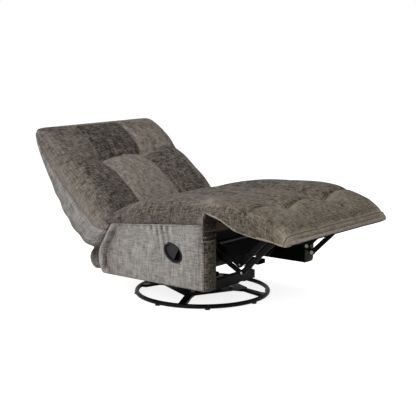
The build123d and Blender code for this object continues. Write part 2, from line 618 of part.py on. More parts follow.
# The two pairs of leg-rest links on each side
def make_links():
    def link(first, second, level, first_hole, second_hole):
        solid = across(bar(first, second, LINK_RADIUS), level, level + LINK_THICK)
        solid -= rod(first, first_hole, level, level + LINK_THICK)
        solid -= rod(second, second_hole, level, level + LINK_THICK)
        return group(*left_and_right(solid))

    loose = ELBOW_PIN + 2 * RUNNING
    turning = PIVOT_PIN + 2 * RUNNING
    parts["drive_links"] = link(DRIVE_PIVOT, DRIVE_ELBOW, LINK_A, turning, ELBOW_PIN)
    parts["guide_links"] = link(GUIDE_PIVOT, GUIDE_ELBOW, LINK_C, turning, ELBOW_PIN)
    parts["drive_upper_links"] = link(DRIVE_ELBOW, DRIVE_FOOT, LINK_B, loose, loose)
    parts["guide_upper_links"] = link(GUIDE_ELBOW, GUIDE_FOOT, LINK_D, loose, loose)
    parts["drive_elbow_rivets"] = group(*left_and_right(link_pin(DRIVE_ELBOW, LINK_A, LINK_B, -1)))
    parts["guide_elbow_rivets"] = group(*left_and_right(link_pin(GUIDE_ELBOW, LINK_C, LINK_D, -1)))
    tube = rod(GUIDE_PIVOT, TORQUE_TUBE, -LINK_C, LINK_C)
    parts["torque_tube"] = tube - rod(GUIDE_PIVOT, TORQUE_TUBE - 2 * TORQUE_WALL, -LINK_C, LINK_C)


# Back
def make_back():
    # place along the face, how far the side stands in, then depths behind the face: edge, crown,
    # channel, seam and rear
    stations = [(-78, 20, 24, 17, 22, 70, 188), (-30, 7, 10, 3, 8, 96, 203), (60, 6, 8, -20, -2, 108, 220),
                (170, 10, 8, -26, -4, 108, 211), (270, 10, 8, -22, -3, 104, 177), (335, 9, 9, -2, 9, 97, 149),
                (400, 8, 8, -22, -2, 84, 119), (490, 6, 6, -20, -2, 60, 78), (560, 10, 6, -10, 0, 37, 45),
                (592, 26, 8, 0, 4, 24, None), (606, 54, 13, 9, 11, 18, None)]
    fronts = []
    covers = []
    for along, inset, edge, crown, channel, seam, rear in stations:
        plane = BACK.offset(along)
        width = HALF - inset
        fronts.append(plane * pillow(width, seam, edge, crown, channel))
        if rear:
            covers.append(plane * shell_section(width, seam + FIT, rear))
    cushion = loft(fronts, ruled=True)
    cover = loft(covers, ruled=True)

    # The cover is hollow behind the cushion, and both leave room for the pivot brackets
    def lengthwise(sketch, start, end):
        """Solid between two X values from a sketch of (depth, along) points."""
        plane = Plane(origin=BACK.origin, x_dir=BACK.y_dir, z_dir=(1, 0, 0))
        return extrude(plane.offset(start) * sketch, end - start, dir=(1, 0, 0))

    hollow = outline((40, -50), (175, -50), (194, 20), (198, 115), (172, 227), (125, 335), (76, 440), (40, 440))
    cover -= lengthwise(hollow, BACK_SKIN + 28 - HALF, HALF - BACK_SKIN - 28)
    notch = outline((-40, -90), (-40, -12), (UPRIGHT_FRONT + 46, -12), (UPRIGHT_FRONT + 46, -90))
    low = LINK_A - BRACKET_SLOT / 2 + 4
    for cut in left_and_right(lengthwise(notch, low, low + BRACKET_SLOT)):
        cushion -= cut
        cover -= cut

    # Bracket: from the pivot to the inside of the wooden upright
    pivot = BACK.to_local_coords(Vector(0, *BACK_PIVOT))
    upright_middle = UPRIGHT_FRONT + UPRIGHT_DEPTH / 2
    pivot_place = (pivot.Y, pivot.Z)
    elbow = (upright_middle, 0)
    top = (upright_middle, 130)
    bracket_out = LINK_A + LINK_THICK
    bracket = lengthwise(Sketch() + [bar(pivot_place, elbow, 18), bar(elbow, top, 16)], LINK_A, bracket_out)
    bracket -= rod(BACK_PIVOT, BACK_PIVOT_PIN + 2 * RUNNING, LINK_A, bracket_out)
    room = lengthwise(Sketch() + [bar(pivot_place, elbow, 20), bar(elbow, top, 18)], low, bracket_out)
    for cut in left_and_right(room):
        cushion -= cut
        cover -= cut
    parts["back_cushion"] = cushion
    parts["back_cover"] = cover

    # Frame of two uprights and two rails
    upright = outline((UPRIGHT_FRONT, UPRIGHT_FOOT), (UPRIGHT_FRONT, 270), (87, UPRIGHT_HEAD),
                      (92, UPRIGHT_HEAD), (122, 330), (UPRIGHT_FRONT + UPRIGHT_DEPTH, 250),
                      (UPRIGHT_FRONT + UPRIGHT_DEPTH, UPRIGHT_FOOT))
    post = lengthwise(upright, bracket_out, bracket_out + UPRIGHT_WIDTH)
    bolts = []
    for along in (20, 110):
        place = BACK.from_local_coords(Vector(0, upright_middle, along))
        spot = (place.Y, place.Z)
        hole = rod(spot, BACK_BOLT + 2 * SCREW_ROOM, LINK_A, bracket_out + 30)
        post -= hole
        bracket -= hole
        bolts.append(rod(spot, BACK_BOLT, LINK_A, bracket_out + 30)
                     + rod(spot, 1.8 * BACK_BOLT, LINK_A - 0.6 * BACK_BOLT, LINK_A))
    both = [left_and_right(bolt) for bolt in bolts]
    parts["back_bolts"] = group(*[solid for pair in both for solid in pair])
    parts["back_brackets"] = group(*left_and_right(bracket))
    parts["back_post_left"], parts["back_post_right"] = left_and_right(post)
    span = bracket_out - FIT
    top_rail = outline((106, 300), (106, 338), (120, 338), (120, 300))
    rail_front = UPRIGHT_FRONT + 38 - UPRIGHT_DEPTH
    bottom_rail = outline((rail_front, 150), (rail_front, 195), (rail_front + 22, 195), (rail_front + 22, 150))
    parts["back_rails"] = group(lengthwise(top_rail, -span, span), lengthwise(bottom_rail, -span, span))


def shell_section(width, front, rear):
    """Section of the back's outside cover: flat front, rounded sides and a slightly full rear."""
    inset = min(34, 0.5 * (rear - front))
    waist = front + 0.62 * (rear - front)
    sides = [ThreePointArc((width, front), (width - 0.2 * inset, waist), (width - inset, rear)),
             ThreePointArc((width - inset, rear), (0, rear + 6), (inset - width, rear)),
             ThreePointArc((inset - width, rear), (0.2 * inset - width, waist), (-width, front)),
             Line((-width, front), (width, front))]
    return make_face(sides)


# Release handle: a cup with a rim, the paddle hinged in it, and the cable behind
def make_handle():
    long_in, short_in = HANDLE_LONG - HANDLE_RIM, HANDLE_SHORT - HANDLE_RIM
    rim = extrude(HANDLE * Ellipse(HANDLE_LONG, HANDLE_SHORT), amount=HANDLE_FLANGE)
    rim = fillet(rim.faces().sort_by(Axis.X)[0].edges(), HANDLE_FLANGE / 2)
    cup = rim + extrude(HANDLE * Ellipse(long_in, short_in), amount=-CUP_DEPTH)
    inside = HANDLE.offset(HANDLE_FLANGE) * Ellipse(long_in - CUP_WALL, short_in - CUP_WALL)
    cup -= extrude(inside, amount=CUP_WALL - CUP_DEPTH - HANDLE_FLANGE)

    # Hinge pin across the oval at its rear end, below the paddle
    pin_z = -PADDLE_SINK - PADDLE_THICK - PADDLE_PIN / 4
    share = (PADDLE_HINGE / (long_in - CUP_WALL / 2)) ** 2
    pin_half = (short_in - CUP_WALL / 2) * (1 - share) ** 0.5
    hinge = Plane(origin=HANDLE.from_local_coords(Vector(PADDLE_HINGE, 0, pin_z)),
                  x_dir=HANDLE.x_dir, z_dir=HANDLE.y_dir)
    pin = extrude(hinge * Circle(PADDLE_PIN / 2), amount=pin_half, both=True)
    cup -= pin
    parts["paddle_pin"] = pin

    edge = CUP_WALL + 4
    oval = Ellipse(long_in - edge, short_in - edge + 1)
    front = Pos(PADDLE_FREE + 100) * Rectangle(200, 200)
    face = HANDLE.offset(-PADDLE_SINK) * (oval & front)
    paddle = extrude(face, amount=-PADDLE_THICK)
    share = (PADDLE_HINGE / (long_in - edge)) ** 2
    knuckle_half = (short_in - edge) * (1 - share) ** 0.5 - 1
    paddle += extrude(hinge * Circle(PADDLE_PIN), amount=knuckle_half, both=True)
    paddle -= extrude(hinge * Circle(PADDLE_PIN / 2 + RUNNING), amount=knuckle_half + 5, both=True)
    parts["handle_paddle"] = paddle
    parts["handle_cup"] = cup

    end = CABLE_POINTS[-1]
    route = FilletPolyline(*CABLE_POINTS, radius=5 * CABLE)
    tip = Plane(CABLE_POINTS[0], z_dir=(1, 0, 0))
    parts["release_cable"] = sweep(tip * Circle(CABLE / 2), path=route)
    parts["cable_anchor"] = block((end[0] - ANCHOR_SIZE / 2, -PLATE_OUT), (end[1], end[1] + ANCHOR_SIZE),
                                  (end[2] - ANCHOR_SIZE / 2, end[2] + ANCHOR_SIZE / 2))


make_base()
make_bearing()
make_rocker()
make_panels(make_seat_frame(make_mechanism()))
make_cushions()
make_footrest()
make_links()
make_back()
make_handle()

os.makedirs("parts", exist_ok=True)
for name, shape in parts.items():
    export_step(Pos(0, SWIVEL_SETBACK, 0) * shape, "parts/" + name + ".step")
print(len(parts), "pieces")
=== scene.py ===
# %% [markdown]
# A swivel recliner, dressed in Blender.
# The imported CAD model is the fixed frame: its metal, wood and plastic pieces stay as they are and get
# a finish, while every soft piece is made again here as cloth over padding. Lengths are in metres, the
# front of the chair is -Y, and the chair stands open: footrest out, back laid down.

# %% Load the frame
import json
import math

import bpy
import numpy as np
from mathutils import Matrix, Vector


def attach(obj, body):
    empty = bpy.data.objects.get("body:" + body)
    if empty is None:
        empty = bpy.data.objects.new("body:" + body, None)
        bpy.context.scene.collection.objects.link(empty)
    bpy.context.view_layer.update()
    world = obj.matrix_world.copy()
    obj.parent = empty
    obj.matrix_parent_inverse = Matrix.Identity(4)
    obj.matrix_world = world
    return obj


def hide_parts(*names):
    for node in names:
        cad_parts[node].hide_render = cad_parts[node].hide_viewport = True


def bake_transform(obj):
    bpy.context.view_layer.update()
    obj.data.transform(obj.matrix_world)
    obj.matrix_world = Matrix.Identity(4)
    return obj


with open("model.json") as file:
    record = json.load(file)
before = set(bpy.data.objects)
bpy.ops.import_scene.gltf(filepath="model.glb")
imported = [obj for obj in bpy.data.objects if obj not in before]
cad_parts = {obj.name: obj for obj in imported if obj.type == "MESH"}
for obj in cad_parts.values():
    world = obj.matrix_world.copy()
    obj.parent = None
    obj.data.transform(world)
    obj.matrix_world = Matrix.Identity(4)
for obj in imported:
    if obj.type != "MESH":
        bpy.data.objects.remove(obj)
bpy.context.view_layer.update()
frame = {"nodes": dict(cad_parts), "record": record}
scene = bpy.context.scene

# %% [markdown]
# The camera comes first, because everything is judged through it. Its place and lens were found by
# matching the ring base, the side panel and the footrest with their places in the photograph: it looks
# at the front corner of the chair from a little above, through a long lens.


# %% Camera
def place_piece(name, data):
    """New object at the origin that holds the given mesh, curve, lamp or camera."""
    piece = bpy.data.objects.new(name, data)
    scene.collection.objects.link(piece)
    return piece


def aim(piece, place, direction):
    """Puts a camera or lamp at a place, looking along a direction."""
    piece.location = place
    piece.rotation_euler = Vector(direction).to_track_quat("-Z", "Y").to_euler()


CAMERA_PLACE = (-4.0406, -3.2909, 1.3287)
CAMERA_LOOK = (0.76497, 0.62185, -0.16768)
CAMERA_LENS = 90.76
scene.view_settings.view_transform = "Standard"
lens = bpy.data.cameras.new("photo_camera")
lens.lens = CAMERA_LENS
lens.sensor_width = 36.0
scene.camera = place_piece("photo_camera", lens)
aim(scene.camera, CAMERA_PLACE, CAMERA_LOOK)
print("camera", CAMERA_PLACE, "lens", CAMERA_LENS)

# %% [markdown]
# Materials are node trees. One small helper adds a node and sets its sockets, so that each finish below
# reads as a recipe: which pattern, how large, and which socket of the shader it feeds.


# %% Helper for finishes
class Finish:
    """A new material with its shader, and short ways to add and join nodes."""

    def __init__(self, name, **sockets):
        self.material = bpy.data.materials.new(name)
        self.material.use_nodes = True
        self.nodes = self.material.node_tree.nodes
        self.links = self.material.node_tree.links
        self.shader = self.nodes["Principled BSDF"]
        self.shade(**sockets)

    def feed(self, socket, value):
        if isinstance(value, bpy.types.NodeSocket):
            self.links.new(value, socket)
        else:
            socket.default_value = value

    def shade(self, **sockets):
        """Sets sockets of the shader, or joins a pattern to them."""
        for socket, value in sockets.items():
            self.feed(self.shader.inputs[socket.replace("_", " ")], value)

    def add(self, kind, settings=None, **sockets):
        node = self.nodes.new("ShaderNode" + kind)
        for key, value in (settings or {}).items():
            setattr(node, key, value)
        for socket, value in sockets.items():
            self.feed(node.inputs[socket.replace("_", " ")], value)
        return node

    def place(self):
        """Object coordinates, which are metres in the chair's frame."""
        return self.add("TexCoord").outputs["Object"]

    def math(self, operation, first, second):
        node = self.add("Math", {"operation": operation})
        self.feed(node.inputs[0], first)
        self.feed(node.inputs[1], second)
        return node.outputs[0]

    def total(self, value, *others):
        for other in others:
            value = self.math("ADD", value, other)
        return value

    def blend(self, share, first, second, mode="MIX"):
        node = self.add("Mix", {"data_type": "RGBA", "blend_type": mode})
        self.feed(node.inputs["Factor"], share)
        self.feed(node.inputs[6], first)
        self.feed(node.inputs[7], second)
        return node.outputs[2]

    def ramp(self, value, low, high, low_to=0.0, high_to=1.0):
        node = self.add("MapRange", Value=value, From_Min=low, From_Max=high, To_Min=low_to, To_Max=high_to)
        return node.outputs["Result"]

    def noise(self, vector, scale, detail=3.0, roughness=0.55):
        node = self.add("TexNoise", Vector=vector, Scale=scale, Detail=detail, Roughness=roughness)
        return node.outputs["Fac"]

    def wave(self, vector, way, **sockets):
        """Parallel bands that follow one another along an axis."""
        return self.add("TexWave", {"bands_direction": way}, Vector=vector, **sockets).outputs["Fac"]

    def stretched(self, vector, sizes):
        """Coordinates divided by the given sizes, so that one pattern unit is that long in metres."""
        scale = tuple(1.0 / size for size in sizes)
        return self.add("Mapping", Vector=vector, Scale=scale).outputs["Vector"]

    def bump(self, height, strength, distance):
        node = self.add("Bump", Height=height, Strength=strength, Distance=distance)
        self.shade(Normal=node.outputs["Normal"])


# %% [markdown]
# The seat, footrest and the front of the back wear a woven chenille: brown-grey, crosshatched by coarse
# slubby threads, and patched in lighter and darker squares. The panels and the rear wear a paler weave.
# A photograph of cloth could be tiled, but a procedural weave has no seams and bakes at any size. It is
# laid in the cloth's own UV map, in metres, so that the threads follow the surface, and the patches come
# from a tone and a warmth that are stored on each face.


# %% Recipe for woven cloth
def cloth_finish(name, dark, light, warm_light, thread, streak, gain, fleck, band, depth):
    """Woven cloth: a crosshatch of slubby threads, worn clouds, pale flecks and faint bands."""
    finish = Finish(name, Roughness=0.92, Sheen_Weight=0.02, Sheen_Roughness=0.5, Specular_IOR_Level=0.12)
    weave = finish.add("UVMap", {"uv_map": "weave"}).outputs["UV"]
    tone = finish.add("Attribute", {"attribute_name": "tone"}).outputs["Fac"]
    warm = finish.add("Attribute", {"attribute_name": "warm"}).outputs["Fac"]
    lines = []
    for way, sizes in (("X", (thread, streak, 1.0)), ("Y", (streak, thread, 1.0))):
        row = finish.wave(finish.stretched(weave, (thread * 3.18,) * 3), way, Distortion=2.4, Scale=1.0,
                          Detail=2.0, Detail_Scale=1.3)
        slub = finish.ramp(finish.noise(finish.stretched(weave, sizes), 1.0, 2.0), 0.33, 0.67)
        lines.append(finish.total(finish.math("MULTIPLY", row, 0.5), slub))
    hatch = finish.total(*lines)
    cloud = finish.noise(weave, 22.0, 6.0, 0.65)
    bands = finish.noise(finish.stretched(weave, (0.030, 0.30, 1.0)), 1.0, 2.0)
    pale = finish.noise(finish.stretched(weave, (thread * 0.8, thread * 0.8, 1.0)), 1.0, 1.0)
    value = finish.total(tone, finish.ramp(hatch, 0.75, 2.25, -0.9 * gain, 1.1 * gain),
                         finish.ramp(cloud, 0.3, 0.7, -0.12, 0.12), finish.ramp(bands, 0.3, 0.7, -band, band),
                         finish.ramp(pale, 0.62, 0.8, 0.0, fleck))
    stain = finish.ramp(finish.noise(weave, 5.0, 3.0), 0.38, 0.70, 0.0, 0.35)
    bright = finish.blend(finish.total(warm, stain), light, warm_light)
    finish.shade(Base_Color=finish.blend(finish.ramp(value, 0.0, 1.0), dark, bright))
    finish.bump(hatch, 0.5, depth)
    return finish.material


# %% Chenille and the grey panel weave
chenille = cloth_finish(
    "chenille_brown", dark=(0.017, 0.0132, 0.0100, 1), light=(0.335, 0.293, 0.258, 1),
    warm_light=(0.330, 0.278, 0.212, 1), thread=0.0080, streak=0.036, gain=0.20, fleck=0.34, band=0.03,
    depth=0.0012)
grey_weave = cloth_finish(
    "panel_weave_grey", dark=(0.050, 0.045, 0.041, 1), light=(0.510, 0.488, 0.466, 1),
    warm_light=(0.480, 0.430, 0.392, 1), thread=0.0075, streak=0.055, gain=0.18, fleck=0.14, band=0.09,
    depth=0.0009)
print("cloths:", chenille.name, grey_weave.name)

# %% [markdown]
# Under the seat a real recliner is lined with thin black cloth, which hides the foam and the boards from
# below. A plain black would look like a hole, so it is nearly matt, with a faint felted grain.


# %% Black lining
def lining_finish():
    finish = Finish("lining_black", Roughness=0.95, Specular_IOR_Level=0.05)
    place = finish.place()
    grain = finish.noise(place, 420.0, 3.0)
    cloud = finish.noise(place, 18.0, 2.0)
    share = finish.total(finish.ramp(grain, 0.3, 0.7, 0.0, 0.5), finish.ramp(cloud, 0.3, 0.7, 0.0, 0.5))
    finish.shade(Base_Color=finish.blend(share, (0.0015, 0.0015, 0.0015, 1), (0.005, 0.005, 0.005, 1)))
    finish.bump(grain, 0.4, 0.0006)
    return finish.material


lining = lining_finish()
print("lining:", lining.name)

# %% [markdown]
# The CAD pieces that show keep their shapes, so all that they need is a finish. The ring, the links and
# the rails are powder-coated steel: black, with the coat's fine orange peel and some dull wear. Bolts and
# rivets are zinc plated, a pale metal with a faint spangle. Both read Object coordinates, because a CAD
# mesh has no UV map.


# %% Powder coat and zinc
def paint_finish():
    finish = Finish("black_powder_coat", Specular_IOR_Level=0.07)
    place = finish.place()
    peel = finish.noise(place, 900.0, 2.0)
    wear = finish.noise(place, 26.0, 5.0)
    colour = finish.blend(finish.ramp(wear, 0.45, 0.8), (0.0025, 0.0025, 0.003, 1), (0.006, 0.006, 0.0065, 1))
    finish.shade(Base_Color=colour, Roughness=finish.ramp(wear, 0.3, 0.75, 0.34, 0.52))
    finish.bump(peel, 0.25, 0.0004)
    return finish.material


def zinc_finish():
    finish = Finish("zinc_plate", Metallic=1.0)
    place = finish.place()
    spangle = finish.add("TexVoronoi", Vector=place, Scale=260.0).outputs["Color"]
    cloud = finish.noise(place, 45.0, 3.0)
    grey = finish.blend(cloud, (0.30, 0.30, 0.31, 1), (0.52, 0.52, 0.53, 1))
    finish.shade(Base_Color=finish.blend(0.12, grey, spangle, "SOFT_LIGHT"),
                 Roughness=finish.ramp(cloud, 0.3, 0.7, 0.30, 0.50))
    return finish.material


powder_coat = paint_finish()
zinc = zinc_finish()
print("metals:", powder_coat.name, zinc.name)

# %% [markdown]
# The handle and the glides are moulded plastic with a fine grain, the hidden frame is stained board and
# the seat hangs on woven straps. Each pattern is sized in metres, so it stays right on every piece.


# %% Plastic, wood and straps
def plastic_finish():
    finish = Finish("grained_black_plastic", Specular_IOR_Level=0.2)
    place = finish.place()
    grain = finish.add("TexVoronoi", Vector=place, Scale=1100.0).outputs["Distance"]
    cloud = finish.noise(place, 60.0, 2.0)
    finish.shade(Base_Color=finish.blend(cloud, (0.008, 0.0083, 0.0095, 1), (0.017, 0.0175, 0.0195, 1)),
                 Roughness=finish.ramp(cloud, 0.3, 0.7, 0.42, 0.58))
    finish.bump(grain, 0.3, 0.0004)
    return finish.material


def wood_finish():
    finish = Finish("stained_board", Roughness=0.75, Specular_IOR_Level=0.25)
    place = finish.place()
    rings = finish.wave(finish.stretched(place, (6.0, 4.0, 1.0)), "Z", Scale=22.0, Distortion=6.0, Detail=3.0)
    pores = finish.noise(finish.stretched(place, (0.08, 0.02, 0.003)), 1.0, 3.0)
    colour = finish.blend(rings, (0.024, 0.016, 0.010, 1), (0.050, 0.035, 0.023, 1))
    colour = finish.blend(finish.ramp(pores, 0.55, 0.75, 0.0, 0.6), colour, (0.012, 0.008, 0.005, 1))
    finish.shade(Base_Color=colour)
    finish.bump(finish.total(rings, pores), 0.3, 0.0006)
    return finish.material


def strap_finish():
    finish = Finish("woven_strap", Roughness=0.85)
    place = finish.place()
    ribs = finish.wave(place, "Y", Scale=60.0, Distortion=0.4)
    lines = finish.wave(place, "X", Scale=40.0, Distortion=0.3)
    finish.shade(Base_Color=finish.blend(lines, (0.010, 0.010, 0.010, 1), (0.045, 0.044, 0.042, 1)))
    finish.bump(finish.math("MULTIPLY", ribs, lines), 0.5, 0.0008)
    return finish.material


# %% [markdown]
# Every CAD node names a material slot in the record, so one loop gives each its finish. Doing it by slot
# instead of by name means that no node can be forgotten.

# %% Finishes of the CAD nodes
FINISH_OF_SLOT = {"chenille": chenille, "grey_weave": grey_weave, "black_metal": powder_coat, "zinc": zinc,
                  "black_plastic": plastic_finish(), "wood": wood_finish(), "webbing": strap_finish()}
for row in frame["record"]["subparts"]:
    node = frame["nodes"][row["node"]]
    node.data.materials.clear()
    node.data.materials.append(FINISH_OF_SLOT[row["material_slot"]])

# %% [markdown]
# The cushions are drawn as a pattern maker would: a table of stations says how wide and how high the pad
# is, and a smooth curve runs through them. Blender's own curves could be lofted, but plain arrays let
# the seams, the weave and the padding be worked out from rows and columns.

# %% Curves through stations
MM = 0.001
# the swivel axis, from which the tables below measure y in millimetres, lies this far behind the origin
SETBACK = 30.0


def smooth(knots, values, at):
    """Cubic curve through values at knots, read at the given places."""
    knots, values = np.asarray(knots, float), np.asarray(values, float)
    slope = np.gradient(values, knots, axis=0)
    index = np.clip(np.searchsorted(knots, at) - 1, 0, len(knots) - 2)
    step = knots[index + 1] - knots[index]
    share = (np.asarray(at) - knots[index]) / step
    if values.ndim > 1:
        step, share = step[:, None], share[:, None]
    early, late = values[index], values[index + 1]
    cube, square = share ** 3, share ** 2
    return ((2 * cube - 3 * square + 1) * early + (cube - 2 * square + share) * step * slope[index]
            + (3 * square - 2 * cube) * late + (cube - square) * step * slope[index + 1])


def read_table(table, at):
    """The later columns of a table, read smoothly at places in its first column."""
    table = np.array(sorted(table), float)
    return smooth(table[:, 0], table[:, 1:], at)


def lengths(points):
    """Length of a line of points up to each of them."""
    steps = np.linalg.norm(np.diff(points, axis=0), axis=1)
    return np.concatenate([[0.0], np.cumsum(steps)])


def evenly(points, count, closed_end=False):
    """Points at even steps along a smooth curve through the given points."""
    points = np.asarray(points, float)
    knots = lengths(points)
    fine = smooth(knots, points, np.linspace(0, knots[-1], 160))
    run = lengths(fine)
    want = np.linspace(0, run[-1], count + 1)
    want = want if closed_end else want[:-1]
    return np.stack([np.interp(want, run, fine[:, axis]) for axis in range(points.shape[1])], 1)


def unit(value):
    """The value, held between 0 and 1."""
    return np.clip(value, 0, 1)


def bell(distance, width):
    """Soft hump that is 1 at no distance and fades over its width."""
    return np.exp(-(distance / width) ** 2)


# %% [markdown]
# Seat and back are padded alike: three columns of filling that are parted by two lengthwise seams, with
# soft shoulders and a flat base. One section serves both, so that they look like one maker's work.

# %% Section of a cushion
CHANNEL_X = 0.160
# points across half of the base, up a side, over an outer column and over half of the middle column
CUSHION_COUNTS = (42, 9, 26, 17)


def mirrored(half):
    """Closed section from its half, which runs from the middle below to the middle above."""
    return np.concatenate([half, half[-2:0:-1] * (-1, 1)])


def cushion_loop(width, base, crown, channel, side=0.006, edge=0.0):
    """Closed section of a padded piece as (across, up): flat base, full sides, three crowned columns."""
    flat, flank, column, middle = CUSHION_COUNTS
    tall, swell, lower = crown - base, crown - channel, crown - edge
    face = tall - edge
    soft = min(0.040, 0.75 * tall)
    bottom = [(0, base), (width * 0.5, base), (width - 0.02, base),
              (width + 0.0005, base + min(0.001, 0.1 * tall))]
    sides = [bottom[-1], (width + 0.6 * side, base + 0.14 * tall), (width + side, base + 0.40 * face),
             (width - 0.08 * soft, lower - min(0.027, 0.45 * face)),
             (width - 0.5 * soft, lower - min(0.0065, 0.12 * face))]
    top = [sides[-1], (width - 1.35 * soft, crown - 0.012 * tall - 0.75 * edge),
           ((width + CHANNEL_X) / 2, crown), (CHANNEL_X + 0.05, channel + 0.7 * swell),
           (CHANNEL_X + 0.014, channel + 0.2 * swell), (CHANNEL_X, channel)]
    centre = [top[-1], (CHANNEL_X - 0.014, channel + 0.2 * swell),
              (CHANNEL_X * 0.66, channel + 0.75 * swell), (CHANNEL_X * 0.3, crown - 0.06 * swell), (0, crown)]
    return mirrored(np.concatenate([evenly(bottom, flat), evenly(sides, flank), evenly(top, column),
                                    evenly(centre, middle, True)]))


def upper_side(skin, fine=1):
    """Which columns of a cushion's loops lie above its flat base. A skin made finer has fine times more."""
    columns = skin.shape[1]
    index = np.arange(columns)
    index = np.minimum(index, columns - index)
    return (index >= fine * CUSHION_COUNTS[0])[None]


# %% [markdown]
# A skin is a row of such sections, kept as an array of rows, columns and x, y, z. Its outward direction
# and a finer version are sums over neighbours, which is quicker than asking Blender for each point.


# %% Skins of closed loops
def normals_of(skin):
    """Outward unit vectors of a skin of closed loops, whatever way it winds."""
    along = np.gradient(skin, axis=0)
    around = np.roll(skin, -1, axis=1) - np.roll(skin, 1, axis=1)
    out = np.cross(around, along)
    out /= np.linalg.norm(out, axis=2, keepdims=True) + 1e-12
    centre = skin.mean(axis=1, keepdims=True)
    return out * np.sign(np.sum((skin - centre) * out, axis=(1, 2)).mean())


def finer(skin):
    """The skin with a new row and column between each two, on smooth curves."""
    rows = np.arange(len(skin), dtype=float)
    more_rows = np.arange(0, len(skin) - 0.75, 0.5)
    flat = smooth(rows, skin.reshape(len(skin), -1), more_rows).reshape(len(more_rows), *skin.shape[1:])
    left, right = np.roll(flat, 1, axis=1), np.roll(flat, -1, axis=1)
    after = np.roll(flat, -2, axis=1)
    between = (-left + 9 * flat + 9 * right - after) / 16
    return np.stack([flat, between], 2).reshape(len(flat), -1, 3)


def skin_faces(rows, columns):
    """Quads of a skin of closed loops, with a strip of quads across each end."""
    row, column = np.meshgrid(np.arange(rows - 1), np.arange(columns), indexing="ij")
    after = (column + 1) % columns
    faces = np.stack([row * columns + column, row * columns + after, (row + 1) * columns + after,
                      (row + 1) * columns + column], -1).reshape(-1, 4).tolist()
    for first, turn in ((0, 1), ((rows - 1) * columns, -1)):
        pairs = [(first + index, first + (columns - index) % columns) for index in range(columns // 2 + 1)]
        for one, two in zip(pairs, pairs[1:]):
            corners = list(dict.fromkeys([one[0], one[1], two[1], two[0]]))
            faces.append(corners[::turn])
    return faces


# %% [markdown]
# Cloth needs more than a shape: a UV map in metres for its threads, and a tone for each face. All of it
# is worked out from the skin's rows and columns, and written to the mesh in one go.


# %% Mesh and weave map of a skin
def face_outwards(mesh):
    """Turns a closed mesh the right way out if its volume reads as negative."""
    mesh.calc_loop_triangles()
    corners = np.zeros(len(mesh.vertices) * 3)
    mesh.vertices.foreach_get("co", corners)
    triangles = np.zeros(len(mesh.loop_triangles) * 3, np.int32)
    mesh.loop_triangles.foreach_get("vertices", triangles)
    first, second, third = np.moveaxis(corners.reshape(-1, 3)[triangles.reshape(-1, 3)], 1, 0)
    if np.einsum("ij,ij->i", first, np.cross(second, third)).sum() < 0:
        mesh.flip_normals()


def skin_mesh(name, skin):
    """Mesh of a skin, the right way out."""
    mesh = bpy.data.meshes.new(name)
    mesh.from_pydata(skin.reshape(-1, 3).tolist(), [], skin_faces(*skin.shape[:2]))
    face_outwards(mesh)
    return mesh


def corners_of(mesh):
    """Vertex of each face corner."""
    corners = np.zeros(len(mesh.loops), np.int32)
    mesh.loops.foreach_get("vertex_index", corners)
    return corners


def add_weave(mesh, spots):
    """The weave's UV map, from a place in metres for each face corner."""
    mesh.uv_layers.new(name="weave").data.foreach_set("uv", spots.astype(np.float32).reshape(-1))


def map_skin(mesh, skin):
    """Weave map round each loop from its middle column, and along the skin's middle line."""
    rows, columns, _ = skin.shape
    middle = columns // 2
    steps = np.linalg.norm(np.roll(skin, -1, axis=1) - skin, axis=2)
    around = np.concatenate([np.zeros((rows, 1)), np.cumsum(steps, axis=1)], axis=1)
    around -= around[:, middle:middle + 1]
    along = lengths(skin[:, middle])
    row, column = np.divmod(corners_of(mesh), columns)
    closing = (np.arange(len(row)) // 4 % columns == columns - 1) & (column == 0)
    spots = np.stack([around[row, np.where(closing, columns, column)], along[row]], 1)
    ends = slice(4 * (rows - 1) * columns, None)
    spots[ends] = skin[row[ends], column[ends]][:, [0, 2]]
    add_weave(mesh, spots)


def face_values(mesh, name, values):
    """One number for each face, which the cloth's finish reads."""
    mesh.attributes.new(name, "FLOAT", "FACE").data.foreach_set("value", np.asarray(values, np.float32))


def smooth_faces(mesh):
    mesh.polygons.foreach_set("use_smooth", np.ones(len(mesh.polygons), bool))


# %% Piece from a skin
def make_skin(name, skin, materials, tone, chosen=None, warm=None, end_tone=0.3):
    """Piece from a skin. Rules give each face its tone, its choice of material and its warmth."""
    mesh = skin_mesh(name, skin)
    map_skin(mesh, skin)
    for material in materials:
        mesh.materials.append(material)
    middles = (skin[:-1] + skin[1:]) / 2
    middles = (middles + np.roll(middles, -1, axis=1)) / 2

    def each_face(rule, at_ends, kind):
        values = np.full(len(mesh.polygons), at_ends, kind)
        values[:middles[..., 0].size] = rule(middles).reshape(-1)
        return values

    face_values(mesh, "tone", each_face(tone, end_tone, np.float32))
    if chosen is not None:
        mesh.polygons.foreach_set("material_index", each_face(chosen, 0, np.int32))
    if warm is not None:
        face_values(mesh, "warm", each_face(warm, 0, np.float32))
    smooth_faces(mesh)
    print(name, "faces", len(mesh.polygons))
    return place_piece(name, mesh)


# %% [markdown]
# A cushion looks soft because its cover is pulled tight over filling and held down at its seams. That is
# what Blender's cloth does: the skin is blown up from inside for a few frames while the points on its
# seams, tufts and hidden faces are held, and the result is kept as plain points.

# %% Padding by cloth simulation
PADDING_FRAMES = 20
MOST_PADDING = 0.012
CLOTH = {"vertex_group_mass": "held", "use_pressure": True, "uniform_pressure_force": 3.0, "quality": 6,
         "mass": 0.3, "tension_stiffness": 12.0, "compression_stiffness": 12.0, "bending_stiffness": 0.6}


